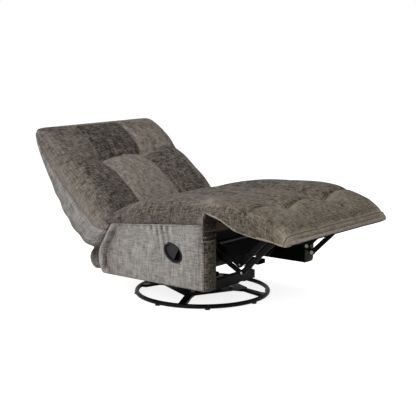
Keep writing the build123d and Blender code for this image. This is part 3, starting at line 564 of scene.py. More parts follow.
def pad_out(skin, held):
    """Inflates a skin by cloth pressure while held points stay, and limits how far a point moves."""
    mesh = skin_mesh("padding_trial", skin)
    trial = place_piece("padding_trial", mesh)
    trial.vertex_groups.new(name="held").add(np.flatnonzero(held).tolist(), 1.0, "REPLACE")
    cloth = trial.modifiers.new("padding", "CLOTH")
    for setting, value in CLOTH.items():
        setattr(cloth.settings, setting, value)
    cloth.settings.effector_weights.gravity = 0.0
    cloth.point_cache.frame_end = PADDING_FRAMES
    for step in range(1, PADDING_FRAMES + 1):
        scene.frame_set(step)
    ready = trial.evaluated_get(bpy.context.evaluated_depsgraph_get())
    padded = np.zeros(skin.size)
    ready.data.vertices.foreach_get("co", padded)
    move = padded.reshape(skin.shape) - skin
    reach = np.linalg.norm(move, axis=2, keepdims=True)
    bpy.data.objects.remove(trial)
    bpy.data.meshes.remove(mesh)
    scene.frame_set(1)
    print("padding moved the cover by up to", round(float(reach.max() / MM), 1), "mm")
    return skin + move * np.minimum(1.0, MOST_PADDING / np.maximum(reach, 1e-9))


# %% [markdown]
# The chaise pad is one long cushion: it lies over the seat frame and both side panels, bends over the
# hinge line and covers the footrest. Two cushions would leave a gap that the photograph doesn't show. Its
# underside has its own line, with a step where the pad passes the front of the panels.

# %% Chaise pad: stations
# y, half width, crown, channel height and how far the side edge drops below the crown, back to front
CHAISE = [(242, 444, 462, 453, 26), (200, 447, 478, 467, 22), (150, 449, 494, 481, 17),
          (96, 450, 509, 494, 12), (30, 450, 528, 512, 8), (-120, 450, 553, 536, 4), (-285, 450, 559, 543, 3),
          (-384, 450, 567, 545, 3), (-468, 447, 570, 547, 3), (-540, 442, 568, 546, 3),
          (-600, 437, 554, 540, 3), (-660, 435, 539, 531, 3), (-745, 433, 505, 499, 3),
          (-785, 430, 475, 472, 2), (-803, 426, 457, 455, 1), (-811, 422, 445, 444, 0),
          (-815, 417, 433, 432, 0)]
UNDERSIDE = [(242, 396), (-379, 458), (-386, 513), (-470, 489), (-540, 450), (-600, 435), (-660, 427),
             (-745, 420), (-780, 412), (-806, 408), (-812, 410), (-815, 416)]
# the middle column dips over the hinge
DIP, DIP_Y, DIP_SPREAD = 0.009, -430, 170


def underside(y):
    """Height of the pad's underside at y, in millimetres."""
    line = np.array(sorted(UNDERSIDE), float)
    return np.interp(y, line[:, 0], line[:, 1])


def chaise_skin():
    rows = np.concatenate([np.linspace(242, -374, 62), [-379, -386], np.linspace(-394, -790, 41),
                           [-797, -803, -808, -811, -813.5, -815]])
    loops = []
    for y, (width, crown, channel, edge), low in zip(rows, read_table(CHAISE, rows), underside(rows)):
        loop = cushion_loop(width * MM, low * MM, crown * MM, channel * MM, edge=max(edge, 0) * MM)
        middle = unit(1 - np.abs(loop[:, 0]) / CHANNEL_X) * (loop[:, 1] > (low + 4) * MM)
        loop[:, 1] -= DIP * bell(y - DIP_Y, DIP_SPREAD) * np.minimum(1, 2.5 * middle)
        loops.append(np.stack([loop[:, 0], np.full(len(loop), (y + SETBACK) * MM), loop[:, 1]], 1))
    return np.array(loops)


# %% [markdown]
# Two tufts pull the pad down on the footrest and two, less deep, on the seat. They are sunk before the
# padding, so that the simulated cover swells round them as it does round a real button.

# %% Chaise pad: tufts and padding
TUFT_X = 0.155
FRONT_SEAM, SEAT_SEAM = (-600 + SETBACK) * MM, (-285 + SETBACK) * MM
FRONT_TUFTS = [(-TUFT_X, FRONT_SEAM), (TUFT_X, FRONT_SEAM)]
SEAT_TUFTS = [(-TUFT_X, SEAT_SEAM), (TUFT_X, SEAT_SEAM)]


def dimple(across, along, tufts, depth, spread, squeeze=1.1):
    """Depth of the pull round tufts at (across, along). Squeeze makes it shorter along."""
    pull = np.zeros(across.shape)
    for tuft_across, tuft_along in tufts:
        away = np.hypot(across - tuft_across, (along - tuft_along) * squeeze)
        pull = np.maximum(pull, depth * np.exp(-(away / spread) ** 1.3))
    return pull


skin = chaise_skin()
x, y = skin[..., 0], skin[..., 1]
upper = upper_side(skin)
hollow = np.maximum(dimple(x, y, FRONT_TUFTS, 0.034, 0.055), dimple(x, y, SEAT_TUFTS, 0.006, 0.050))
skin[..., 2] -= hollow * upper
held = ~upper | (dimple(x, y, FRONT_TUFTS + SEAT_TUFTS, 1.0, 0.02) > 0.35)
held[[0, 1, -1, -2, -3]] = True
skin = finer(pad_out(skin, held))
print("chaise pad rows and columns:", skin.shape[:2])

# %% [markdown]
# Seams come after the padding, because they are narrower than the simulated mesh. Each is a soft valley
# along a line: two run lengthwise, two cross the pad through its tufts, and one lies behind the piping.

# %% Chaise pad: seams
WELT = (-803 + SETBACK) * MM
BEHIND_WELT = 0.008


def groove(distance, width):
    """Soft V that is 1 on a seam and fades over its width."""
    return np.exp(-(np.abs(distance) / width) ** 1.5)


def from_cross_seam(x, y, seam):
    """How far a point lies behind a cross seam, which sways between the tufts."""
    return y - seam - 0.006 * np.cos(x / TUFT_X * math.pi)


def seam_strength(x):
    """Cross seams fade towards the sides of the pad."""
    return np.clip(1.15 - (np.abs(x) / 0.45) ** 3, 0.15, 1)


def chaise_seams(skin):
    """Pulls the cover down along its lengthwise and cross seams."""
    x, y = skin[..., 0], skin[..., 1]
    depth = 0.004 * groove(np.abs(x) - CHANNEL_X, 0.010) + 0.002 * groove(y - WELT - BEHIND_WELT, 0.006)
    for seam, sink in ((FRONT_SEAM, 0.015), (SEAT_SEAM, 0.003)):
        depth += seam_strength(x) * sink * groove(from_cross_seam(x, y, seam), 0.012)
    return skin - normals_of(skin) * (depth * upper_side(skin, 2))[..., None]


chaise_cover = chaise_seams(skin)
print("seams moved the cover by up to", round(float(np.abs(chaise_cover - skin).max() / MM), 1), "mm")

# %% [markdown]
# The patches of the cloth, its worn places, the pale hem, and the painted light and shade at its seams,
# edges and walls could be painted on an image. A rule that gives each face a tone needs no image and keeps
# to the seams, wherever those are put.

# %% Chaise pad: patches, wear, and painted light and shade
PANEL_STEP = (-382.5 + SETBACK) * MM
# rows from the footrest's tip to the back, columns from the sitter's right to left
CHAISE_TONES = np.array([[0.23, 0.24, 0.22], [0.22, 0.21, 0.18], [0.20, 0.18, 0.14], [0.20, 0.17, 0.14]])
# the wall's tone is painted shade, for the wall under the pad's overhang above the panels' front ends
HEM_TONE, WALL_SHADE_TONE = 0.85, -0.15
# half width, y, gain and spread of pale places: worn pile, and painted highlights on the rolled edges and
# crests
CHAISE_WEAR_AND_HIGHLIGHTS = [(0.405, -0.350, 0.22, 0.045), (0.40, 0.12, 0.12, 0.06), (0.405, -0.755, 0.34, 0.035),
               (0.155, -0.575, 0.16, 0.05), (0.24, -0.65, 0.10, 0.08)]


def pale_wear_and_highlights(across, along, spots):
    """Gain in tone at pale spots, which lie on both sides of the middle: worn pile and painted highlights."""
    return sum(gain * np.exp(-((np.abs(across) - spot) ** 2 + (along - place) ** 2) / spread ** 2)
               for spot, place, gain, spread in spots)


def chaise_wall(place):
    """The short wall that faces forwards where the pad passes the front of the panels."""
    near = np.abs(place[..., 1] - PANEL_STEP) < 0.006
    return near & (np.abs(place[..., 0]) > 0.34) & (place[..., 2] < 0.500)


def chaise_material(place):
    """Lining under the pad, chenille elsewhere."""
    columns = place.shape[1]
    index = np.arange(columns)
    index = np.minimum(index, columns - 1 - index)
    return (index < 2 * CUSHION_COUNTS[0] - 6)[None] & ~chaise_wall(place)


def chaise_tone(place):
    """Patches sewn together: a tone for each square between the seams, pale worn spots and painted
    highlights, painted shade in the front cross seam with a painted highlight before it, a footrest front
    painted paler against its shade, painted shade on the wall over the panels, and a pale hem on the
    footrest.
    """
    x, y, z = np.moveaxis(place, -1, 0)
    column = np.digitize(x, (-CHANNEL_X, CHANNEL_X))
    row = np.digitize(y, (FRONT_SEAM, SEAT_SEAM, 0.03))
    # pale spots of worn pile, with painted highlights on the rolled edges and crests
    tone = CHAISE_TONES[row, column] + pale_wear_and_highlights(x, y, CHAISE_WEAR_AND_HIGHLIGHTS)
    from_seam = from_cross_seam(x, y, FRONT_SEAM)
    # painted shade in the front cross seam, and a painted highlight on the swell in front of it
    tone += seam_strength(x) * (0.08 * bell(from_seam + 0.030, 0.018) - 0.16 * bell(from_seam, 0.010))
    # painted light: the footrest's rounded front is made paler, against the shade it turns into
    tone += 0.30 * unit((-0.755 - y) / 0.02)
    hem = (z < underside(y / MM - SETBACK) * MM + 0.011) & (y < -0.36) & (np.abs(x) > 0.38)
    return np.where(chaise_wall(place), WALL_SHADE_TONE, np.where(hem, HEM_TONE, tone))


def chaise_warmth(place):
    """The footrest's cloth is a little more golden than the seat's."""
    return 0.85 * unit((-0.25 - place[..., 1]) / 0.30)


# the strips across the pad's ends get a pale tone: painted light that keeps the footrest's tip from reading
# as shaded
chaise = make_skin("chaise_pad", chaise_cover, [chenille, lining], chaise_tone, chaise_material,
                   chaise_warmth, end_tone=0.8)
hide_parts("seat_cushion", "footrest_cushion")
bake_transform(chaise)

# %% [markdown]
# The back is built in its own frame, along its face, because it lies at an angle. The cushion in front
# is chenille in three columns and two rows of patches, pulled in by two tufts on the cross seam. The
# cover behind it shares its table of stations, so that the two meet at the side seam.

# %% Back cushion: stations
BACK_ANGLE = math.radians(38.8)
CREASE = np.array([0.0, 275.0 + SETBACK, 461.0]) * MM
ACROSS = np.array([1.0, 0.0, 0.0])
ALONG = np.array([0.0, math.cos(BACK_ANGLE), math.sin(BACK_ANGLE)])
REARWARD = np.array([0.0, math.sin(BACK_ANGLE), -math.cos(BACK_ANGLE)])
HALF = 450.0
# along the face, side inset, then depths behind the face: crown, channel, seam and rear
BACK_ROWS = [(-78, 20, 17, 22, 70, 214), (-30, 8, 2, 9, 96, 230), (60, 6, -20, -5, 108, 240),
             (170, 9, -27, -7, 110, 230), (270, 9, -24, -4, 104, 196), (335, 9, -16, 3, 97, 168),
             (400, 8, -22, -3, 84, 137), (490, 6, -20, -2, 60, 90), (555, 9, -11, 0, 38, 51),
             (585, 19, -3, 5, 28, 31), (600, 34, 4, 9, 22, 22), (606, 48, 10, 12, 17, 17)]
# the top edge sags between its corners
TOP_SAG, SAG_FROM, SAG_RUN = 18, 420, 186


def to_back(loop, along):
    """Points (across, depth) at a place along the back, put into the chair's frame."""
    return CREASE + loop[:, :1] * ACROSS + loop[:, 1:] * REARWARD + np.reshape(along, (-1, 1)) * ALONG


def back_place(skin):
    """Across, along and depth of points in the back's own frame."""
    from_crease = skin - CREASE
    return skin[..., 0], from_crease @ ALONG, from_crease @ REARWARD


def back_skin():
    rows = np.concatenate([np.linspace(-78, 555, 64), [565, 575, 585, 593, 600, 604, 606]])
    loops = []
    for along, (inset, crown, channel, seam, _) in zip(rows, read_table(BACK_ROWS, rows)):
        loop = cushion_loop((HALF - inset) * MM, -seam * MM, -crown * MM, -channel * MM, side=0.003,
                            edge=0.004)
        loop = loop * (1, -1)
        sag = TOP_SAG * unit((along - SAG_FROM) / SAG_RUN) ** 2 * (1 - (loop[:, 0] / (HALF * MM)) ** 2)
        loops.append(to_back(loop, (along - sag) * MM))
    return np.array(loops)


# %% Back cushion: tufts, padding and seams
BACK_SEAM, BACK_TUFT_X = 0.335, 0.165
BACK_TUFTS = [(-BACK_TUFT_X, BACK_SEAM), (BACK_TUFT_X, BACK_SEAM)]


def back_seams(skin):
    """Pulls the cover in along its cross seam, which sways between the tufts, and its lengthwise seams."""
    x, along, _ = back_place(skin)
    from_seam = along - BACK_SEAM + 0.010 * np.cos(x / BACK_TUFT_X * math.pi)
    fade = np.clip(1.12 - (np.abs(x) / 0.43) ** 3, 0.08, 1)
    depth = fade * 0.009 * (groove(from_seam, 0.013) + groove(from_seam, 0.040))
    depth += 0.005 * groove(np.abs(x) - CHANNEL_X, 0.010)
    return skin - normals_of(skin) * (depth * upper_side(skin, 2))[..., None]


skin = back_skin()
x, along, _ = back_place(skin)
upper = upper_side(skin)
pull = dimple(x, along, BACK_TUFTS, 1.0, 0.055, squeeze=1.0)
skin = skin + (0.022 * pull * upper)[..., None] * REARWARD
held = ~upper | (pull > 0.7)
held[[0, 1, 2, -1, -2, -3]] = True
back_front = back_seams(finer(pad_out(skin, held)))
print("back cushion rows and columns:", back_front.shape[:2])

# %% Back cushion: patches, wear and painted highlights
# lower and upper row, columns from the sitter's right to left
BACK_TONES = np.array([[0.11, 0.36, 0.12], [0.12, 0.04, 0.23]])
# half width, place along the back, gain and spread of pale places: crushed pile, and painted highlights near
# the seams and tufts
BACK_WEAR_AND_HIGHLIGHTS = [(0.185, 0.365, 0.22, 0.035), (0.30, 0.43, 0.10, 0.07), (0.20, 0.45, 0.10, 0.03)]
EDGE_TONE, SIDE_TONE = 0.31, 0.60


def back_tone(place):
    """Patches between the seams, pale worn spots and painted highlights, painted highlights along the seams,
    and sides that turn paler towards the rear.
    """
    x, along, depth = back_place(place)
    column = np.digitize(x, (-CHANNEL_X, CHANNEL_X))
    # pale spots of crushed pile, with painted highlights near the seams and tufts
    tone = BACK_TONES[(along > BACK_SEAM).astype(int), column] + pale_wear_and_highlights(x, along, BACK_WEAR_AND_HIGHLIGHTS)
    # painted highlights along the lengthwise seams of the upper row and along the cross seam
    seam_highlight = bell(np.abs(x) - 0.172, 0.012) * unit((along - 0.33) / 0.03) + 0.8 * bell(along - 0.358, 0.012)
    tone += 0.13 * seam_highlight
    edge = unit((np.abs(x) - 0.360) / 0.085)
    tone += (EDGE_TONE - tone) * edge
    return tone + (SIDE_TONE - tone) * edge * unit((depth - 0.005) / 0.085)


back = make_skin("back_cushion_cover", back_front, [chenille], back_tone)
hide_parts("back_cushion")
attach(back, "back")

# %% [markdown]
# The outside cover is the grey weave behind the back: full at the seat, tapering to the top edge and
# tucked in at its foot. It isn't tight over foam, so it gets soft ripples in place of a simulation.

# %% Back outside cover
# points across half of the inside, round a side and across half of the rear
OUTSIDE_COUNTS = (40, 12, 30)
RIPPLE = 0.0025


def outside_loop(width, seam, rear):
    """Closed section of the outside cover as (across, depth): flat inside, rounded sides, full rear."""
    flat, flank, wide = OUTSIDE_COUNTS
    deep = max(rear - seam, 0.002)
    round_in = min(0.028, 0.4 * deep)
    inside = [(0, seam), (width * 0.5, seam), (width - 0.03, seam), (width - 0.008, seam + 0.001)]
    sides = [inside[-1], (width - 0.001, seam + 0.07 * deep), (width + 0.003, seam + 0.4 * deep),
             (width - 0.1 * round_in, seam + 0.78 * deep), (width - 0.8 * round_in, seam + 0.97 * deep)]
    behind = [sides[-1], (width - 2.2 * round_in, rear + 0.002), (width * 0.45, rear + 0.006),
              (0, rear + 0.007)]
    return mirrored(np.concatenate([evenly(inside, flat), evenly(sides, flank), evenly(behind, wide, True)]))


def outside_skin():
    rows = np.concatenate([[-78, -76, -70], np.linspace(-60, 560, 63), [570, 580, 587]])
    loops = []
    for along, (inset, _, _, seam, rear) in zip(rows, read_table(BACK_ROWS, rows)):
        tuck = 14 * unit((-66 - along) / 12)
        loop = outside_loop((HALF - inset - tuck) * MM, (seam + 0.5) * MM, max(rear - tuck, seam + 2) * MM)
        loops.append(to_back(loop, along * MM))
    return np.array(loops)


def outside_tone(place):
    return np.full(place.shape[:2], 0.36)


skin = finer(outside_skin())
x, along, depth = back_place(skin)
ripple = RIPPLE * np.sin(along * 61 + 3 * np.sin(x * 9)) * unit((depth - 0.13) / 0.05)
skin = skin + normals_of(skin) * ripple[..., None]
cover = make_skin("back_outside_cover", skin, [grey_weave], outside_tone)
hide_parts("back_cover")
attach(cover, "back")

# %% [markdown]
# Each side panel is a board under foam. The grey weave covers its outside and rear, the front end is
# faced with chenille that is gathered below the seat, and the inside is lined in black. A bevelled box
# would do for the board, but not for the rolled rear edge, so loops are laid round it from foot to top.

# %% Side panels: loops
PANEL_FRONT, PANEL_IN = -384.0, 364.85
PANEL_FOOT, PANEL_TOP = 147, 461
CORNER, FOOT_ROUND, TOP_ROUND = 22.0, 14.0, 3.0
REAR_LINE = [(276, 142), (290, 196), (294, 240), (284, 274), (256, 322), (212, 400)]
REAR_STEPS = 200
# points along the outside, round the front end, along the inside and round the rear
PANEL_COUNTS = (64, 18, 64, 10)


def rear_edge(share):
    """The panel's rear edge as (y, z), from its foot to its top."""
    edge = evenly(REAR_LINE, REAR_STEPS, True)
    place = unit(share) * REAR_STEPS
    return np.stack([np.interp(place, np.arange(REAR_STEPS + 1), edge[:, axis]) for axis in range(2)], -1)


def panel_loop(share, side):
    """Closed loop round a panel at a share of its height: outside, front end, inside, rear end."""
    outer, end, inner, rear = PANEL_COUNTS
    back_y, back_z = rear_edge(share)
    front_z = PANEL_FOOT + share * (PANEL_TOP - PANEL_FOOT)
    reach = FOOT_ROUND if share < 0.5 else TOP_ROUND
    lift = max(0.0, reach - min(share, 1 - share) * 311)
    out = HALF - reach + math.sqrt(max(0.0, reach ** 2 - lift ** 2))
    start = evenly([(out - 20, back_y), (out - 4, back_y - 4), (out, back_y - 18)], 3)
    run = np.linspace(back_y - 18, PANEL_FRONT + CORNER, outer - 3, endpoint=False)
    outside = np.stack([np.full(len(run), out), run], 1)
    turn = evenly([(out, PANEL_FRONT + CORNER), (out - 1.7, PANEL_FRONT + 0.5 * CORNER),
                   (out - 0.29 * CORNER, PANEL_FRONT + 0.29 * CORNER),
                   (out - 0.5 * CORNER, PANEL_FRONT + 1.7), (out - CORNER, PANEL_FRONT)], 8)
    run = np.linspace(out - CORNER, PANEL_IN + 5, end - 8, endpoint=False)
    front = np.stack([run, np.full(len(run), PANEL_FRONT)], 1)
    run = np.linspace(PANEL_FRONT + 3, back_y - 6, inner, endpoint=False)
    inside = np.stack([np.full(len(run), PANEL_IN), run], 1)
    behind = evenly([(PANEL_IN, back_y - 6), (PANEL_IN + 8, back_y), (out - 20, back_y)], rear)
    flat = np.concatenate([start, outside, turn, front, inside, behind])
    slope = (flat[:, 1] - PANEL_FRONT) / (back_y - PANEL_FRONT)
    z = front_z + slope * (back_z - front_z)
    return np.stack([flat[:, 0] * side, flat[:, 1] + SETBACK, z], 1) * MM


def panel_skin(side):
    shares = np.concatenate([[0, 0.006, 0.016, 0.028], np.linspace(0.045, 0.955, 29),
                             [0.972, 0.984, 0.994, 1.0]])
    return np.array([panel_loop(share, side) for share in shares])


# %% [markdown]
# The cloth is pinched into short folds under the seat's seam, above the handle, and rolled round the rear
# edge. The folds are heights in millimetres, so that the same rules can also paint shade into the valleys and
# light onto their ridges.

# %% Side panels: folds
# y, reach below the seam and depth of each pinch fold
FOLDS = [(-88, 150, 8.0), (-118, 190, 11.0), (-150, 120, 7.0), (-186, 90, 5.0), (-52, 110, 6.0),
         (-10, 80, 4.0), (70, 70, 4.0), (150, 70, 4.0)]


def panel_place(skin):
    """y and z of points on a panel, in millimetres."""
    return skin[..., 1] / MM - SETBACK, skin[..., 2] / MM


def below_seam(y, z):
    """How far a point lies below the seat's seam, which falls by 61 mm over 596 mm."""
    return PANEL_TOP - (y - PANEL_FRONT) / 596 * 61 - z


def before_rear(y, z):
    """How far a point lies in front of the panel's rear edge, in millimetres."""
    edge = rear_edge(np.linspace(0, 1, 60))
    return np.interp(z, edge[:, 1], edge[:, 0]) - y


def fold_height(y, z):
    """Height of the pinch folds under the seat's seam, in millimetres: valleys with a ridge beside each."""
    under = below_seam(y, z)
    height = np.zeros(y.shape)
    for place, reach, size in FOLDS:
        from_fold = y - place + 0.22 * under
        fade = size * unit(1 - under / reach) * unit(under / 10)
        height += fade * (0.7 * bell(from_fold - 15, 9.0) - bell(from_fold, 8.0))
    return height


def lip_height(y, z):
    """Height of the rolled edge along the panel's rear, with a valley in front of it."""
    behind = before_rear(y, z)
    fade = unit((z - 145) / 25) * unit(below_seam(y, z) / 40)
    return fade * (8 * bell(behind - 14, 11) - 13 * bell(behind - 42, 15))


def panel_folds(skin, side):
    """Fullness of the foam, pinch folds under the seam and gathers at the front end."""
    y, z = panel_place(skin)
    x = np.abs(skin[..., 0])
    full = 4 * unit(below_seam(y, z) / 90) * unit((z - 150) / 40) * unit((y - PANEL_FRONT) / 60)
    full += fold_height(y, z) + lip_height(y, z)
    across = (x / MM - 407) / 42
    plump = 7 * unit(1 - across ** 2) * unit((z - 150) / 30) * unit((PANEL_TOP - z) / 30)
    waist = 12 * bell(z - 420 - 5 * across, 8) + 8 * bell(z - 393 + 6 * across, 6)
    crinkle = 2.4 * np.sin(z * 0.42 + 2.2 * across + 1.1 * np.sin(z * 0.11)) * unit((z - 365) / 30)
    front = unit(1 - (y - PANEL_FRONT) / 30) * (x > (PANEL_IN + 4) * MM)
    moved = skin.copy()
    moved[..., 0] += np.where(x > (HALF - 16) * MM, full * side * MM, 0)
    moved[..., 1] -= front * (plump - waist + crinkle) * MM
    return moved


# %% Side panels: finishes, with painted light and shade
# heights and gains of the painted highlights on the ridges between the gathers
GATHER_HIGHLIGHTS = ((428, 0.36), (402, 0.32), (383, 0.34))


def panel_material(place):
    """Grey weave outside, chenille on the front end, lining inside: by the loop's columns."""
    outer, end, inner, _ = (2 * count for count in PANEL_COUNTS)
    chosen = np.zeros(place.shape[1], int)
    chosen[outer + 6:outer + end] = 1
    chosen[outer + end:outer + end + inner] = 2
    return np.broadcast_to(chosen, place.shape[:2])


def panel_tone(place):
    """Painted shade and light: darker in the fold and lip valleys and lighter on their ridges, painted shade
    in front of the rear lip and towards the front corner, and a front end in painted shade under the seat's
    overhang that turns lighter at its foot, with painted highlights on the gathers.
    """
    y, z = panel_place(place)
    # painted shade in the fold and lip valleys, painted light on their ridges
    shade = 0.405 + 0.034 * fold_height(y, z) + 0.020 * lip_height(y, z)
    # painted shade in front of the rear lip and towards the front corner
    shade -= 0.12 * bell(before_rear(y, z) - 60, 30) + 0.14 * unit(1 - (y - PANEL_FRONT) / 110)
    # painted shade on the front end under the seat's overhang, lighter towards its foot, and painted
    # highlights on the gathers' ridges
    facing = -0.15 + 0.28 * unit((390 - z) / 30)
    for height, gain in GATHER_HIGHLIGHTS:
        facing += gain * bell(z - height, 3.5)
    return np.where(y < PANEL_FRONT + 15, facing, shade)


def panel_warmth(place):
    """Painted shade: the cloth is browner in the valley in front of the rolled rear edge. It is also browner
    round the front corner.
    """
    y, z = panel_place(place)
    # painted shade: browner in the valley in front of the rolled rear edge
    rear = bell(before_rear(y, z) - 70, 50) * unit((380 - z) / 120)
    return 0.8 * rear + 0.5 * unit(1 - (y - PANEL_FRONT) / 60)


panels, panel_covers = {}, {}
for side, word in ((1, "left"), (-1, "right")):
    skin = panel_folds(finer(panel_skin(side)), side)
    panel = make_skin("side_panel_" + word, skin, [grey_weave, chenille, lining], panel_tone, panel_material,
                      panel_warmth)
    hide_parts("side_pad_" + word)
    panels[word] = panel
    panel_covers[word] = skin

# %% [markdown]
# The release handle sits in an oval hole in the sitter's right panel. A boolean cut with an oval prism
# opens the cloth behind the handle's rim, so that the cup's finger recess stays open. Faces could be
# deleted instead, but that would leave a ragged rim.

# %% Handle hole
HANDLE = np.array([-HALF, -196 + SETBACK, 309.0]) * MM
HANDLE_TILT = math.radians(27)
HOLE_LONG, HOLE_SHORT = 0.0580, 0.0400
HOLE_OUT, HOLE_IN = -0.04, 0.060
RIM = 64


def keep_result(piece):
    """Puts what a piece's modifiers make in place of its mesh, and removes them."""
    bpy.context.view_layer.update()
    result = bpy.data.meshes.new_from_object(piece.evaluated_get(bpy.context.evaluated_depsgraph_get()))
    piece.modifiers.clear()
    piece.data = result
    return result


turn = np.linspace(0, 2 * math.pi, RIM, endpoint=False)
long_way = np.array([0, math.cos(HANDLE_TILT), math.sin(HANDLE_TILT)])
short_way = np.array([0, -math.sin(HANDLE_TILT), math.cos(HANDLE_TILT)])
oval = HANDLE + np.outer(HOLE_LONG * np.cos(turn), long_way) + np.outer(HOLE_SHORT * np.sin(turn), short_way)
prism = np.concatenate([oval + (HOLE_OUT, 0, 0), oval + (HOLE_IN, 0, 0)])
sides = [(i, (i + 1) % RIM, RIM + (i + 1) % RIM, RIM + i) for i in range(RIM)]
caps = [tuple(range(RIM - 1, -1, -1)), tuple(range(RIM, 2 * RIM))]
hole_mesh = bpy.data.meshes.new("handle_hole")
hole_mesh.from_pydata(prism.tolist(), [], sides + caps)
face_outwards(hole_mesh)
hole = place_piece("handle_hole", hole_mesh)
cut = panels["right"].modifiers.new("handle_hole", "BOOLEAN")
cut.operation = "DIFFERENCE"
cut.object = hole
cut.solver = "EXACT"
opened = keep_result(panels["right"])
bpy.data.objects.remove(hole)
for panel in panels.values():
    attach(panel, "chair")
print("right panel faces after the cut:", len(opened.polygons))

# %% [markdown]
# Seams are finished with thread, and the footrest's front edge with piping. Both follow a line and repeat
# along it, so a Geometry Nodes tree makes each: one sets a stitch at every step of the line and turns it
# along the seam, the other sweeps a round cord. The lines are rows and columns of the covers themselves.


# %% Trees for sewing
def wire_up(tree, kinds, settings, joins):
    """Adds nodes by label, sets what they need, and joins (node, outlet, node, inlet)."""
    nodes = {label: tree.nodes.new(kind) for label, kind in kinds.items()}
    for label, key, value in settings:
        setattr(nodes[label], key, value)
    for first, outlet, second, inlet in joins:
        tree.links.new(nodes[first].outputs[outlet], nodes[second].inputs[inlet])
    return nodes


SEWING_NODES = {"start": "NodeGroupInput", "end": "NodeGroupOutput", "curve": "GeometryNodeMeshToCurve",
                "even": "GeometryNodeResampleCurve", "real": "GeometryNodeRealizeInstances",
                "paint": "GeometryNodeSetMaterial"}
SEWING_JOINS = [("start", "Line", "curve", "Mesh"), ("curve", "Curve", "even", "Curve"),
                ("start", "Step", "even", "Length"), ("real", "Geometry", "paint", "Geometry"),
                ("start", "Finish", "paint", "Material"), ("paint", "Geometry", "end", "Sewn")]


def sewing_tree(name, sizes, kinds, joins):
    """Geometry Nodes tree with a line, named sizes and a finish as inputs."""
    tree = bpy.data.node_groups.new(name, "GeometryNodeTree")
    tree.interface.new_socket("Line", in_out="INPUT", socket_type="NodeSocketGeometry")
    for size in sizes:
        tree.interface.new_socket(size, in_out="INPUT", socket_type="NodeSocketFloat")
    tree.interface.new_socket("Finish", in_out="INPUT", socket_type="NodeSocketMaterial")
    tree.interface.new_socket("Sewn", in_out="OUTPUT", socket_type="NodeSocketGeometry")
    nodes = wire_up(tree, {**SEWING_NODES, **kinds}, [("even", "mode", "LENGTH")], SEWING_JOINS + joins)
    return tree, nodes


stitching, nodes = sewing_tree(
    "stitches_along_a_seam", ("Step", "Length", "Thread"),
    {"tangent": "GeometryNodeInputTangent", "turn": "FunctionNodeAlignRotationToVector",
     "stitch": "GeometryNodeMeshCylinder", "set": "GeometryNodeInstanceOnPoints"},
    [("even", "Curve", "set", "Points"), ("tangent", "Tangent", "turn", "Vector"),
     ("turn", "Rotation", "set", "Rotation"), ("start", "Thread", "stitch", "Radius"),
     ("start", "Length", "stitch", "Depth"), ("stitch", "Mesh", "set", "Instance"),
     ("set", "Instances", "real", "Geometry")])
nodes["stitch"].inputs["Vertices"].default_value = 6
piping, nodes = sewing_tree(
    "piping_along_an_edge", ("Step", "Cord"),
    {"round": "GeometryNodeCurvePrimitiveCircle", "tube": "GeometryNodeCurveToMesh"},
    [("even", "Curve", "tube", "Curve"), ("start", "Cord", "round", "Radius"),
     ("round", "Curve", "tube", "Profile Curve"), ("tube", "Mesh", "real", "Geometry")])
nodes["round"].inputs["Resolution"].default_value = 10
nodes["tube"].inputs["Fill Caps"].default_value = True
print("sewing trees:", stitching.name, piping.name)


# %% Sewing along lines
def sew(name, lines, tree, **values):
    """Runs a tree along lines of points and keeps the result as a plain mesh."""
    points = [tuple(point) for line in lines for point in line]
    edges, first = [], 0
    for line in lines:
        edges += [(first + step, first + step + 1) for step in range(len(line) - 1)]
        first += len(line)
    seam = bpy.data.meshes.new(name + "_lines")
    seam.from_pydata(points, edges, [])
    piece = place_piece(name, seam)
    work = piece.modifiers.new("sewing", "NODES")
    work.node_group = tree
    for item in tree.interface.items_tree:
        if item.in_out == "INPUT" and item.name in values:
            work[item.identifier] = values[item.name]
    sewn = keep_result(piece)
    smooth_faces(sewn)
    print(name, "faces", len(sewn.polygons))
    return piece


def thread_finish(name, dark, light):
    """Twisted thread or cord cloth: short light and dark stretches."""
    finish = Finish(name, Roughness=0.85, Sheen_Weight=0.1, Specular_IOR_Level=0.2)
    twist = finish.noise(finish.place(), 300.0, 3.0)
    finish.shade(Base_Color=finish.blend(finish.ramp(twist, 0.3, 0.7), dark, light))
    finish.bump(twist, 0.5, 0.0006)
    return finish.material


# %% [markdown]
# The footrest's edge has piping with a row of stitches 22 mm behind it. The back is stitched down both
# sides, and the panels along the seam under the seat. Each line rides with the cover that it lies on.

# %% Piping and stitches
SEAM_BEHIND = 0.022
thread = thread_finish("sewing_thread", (0.035, 0.030, 0.025, 1), (0.085, 0.074, 0.063, 1))
cord_cloth = thread_finish("piping_cloth", (0.055, 0.046, 0.035, 1), (0.190, 0.161, 0.124, 1))
STITCH = {"Step": 0.007, "Length": 0.0045, "Thread": 0.0006, "Finish": thread}
PIPING = {"Step": 0.006, "Cord": 0.0035, "Finish": cord_cloth}


def lifted(cover):
    """The cover's points, raised by a thread's radius so that stitches lie on the cloth."""
    return cover + normals_of(cover) * STITCH["Thread"]


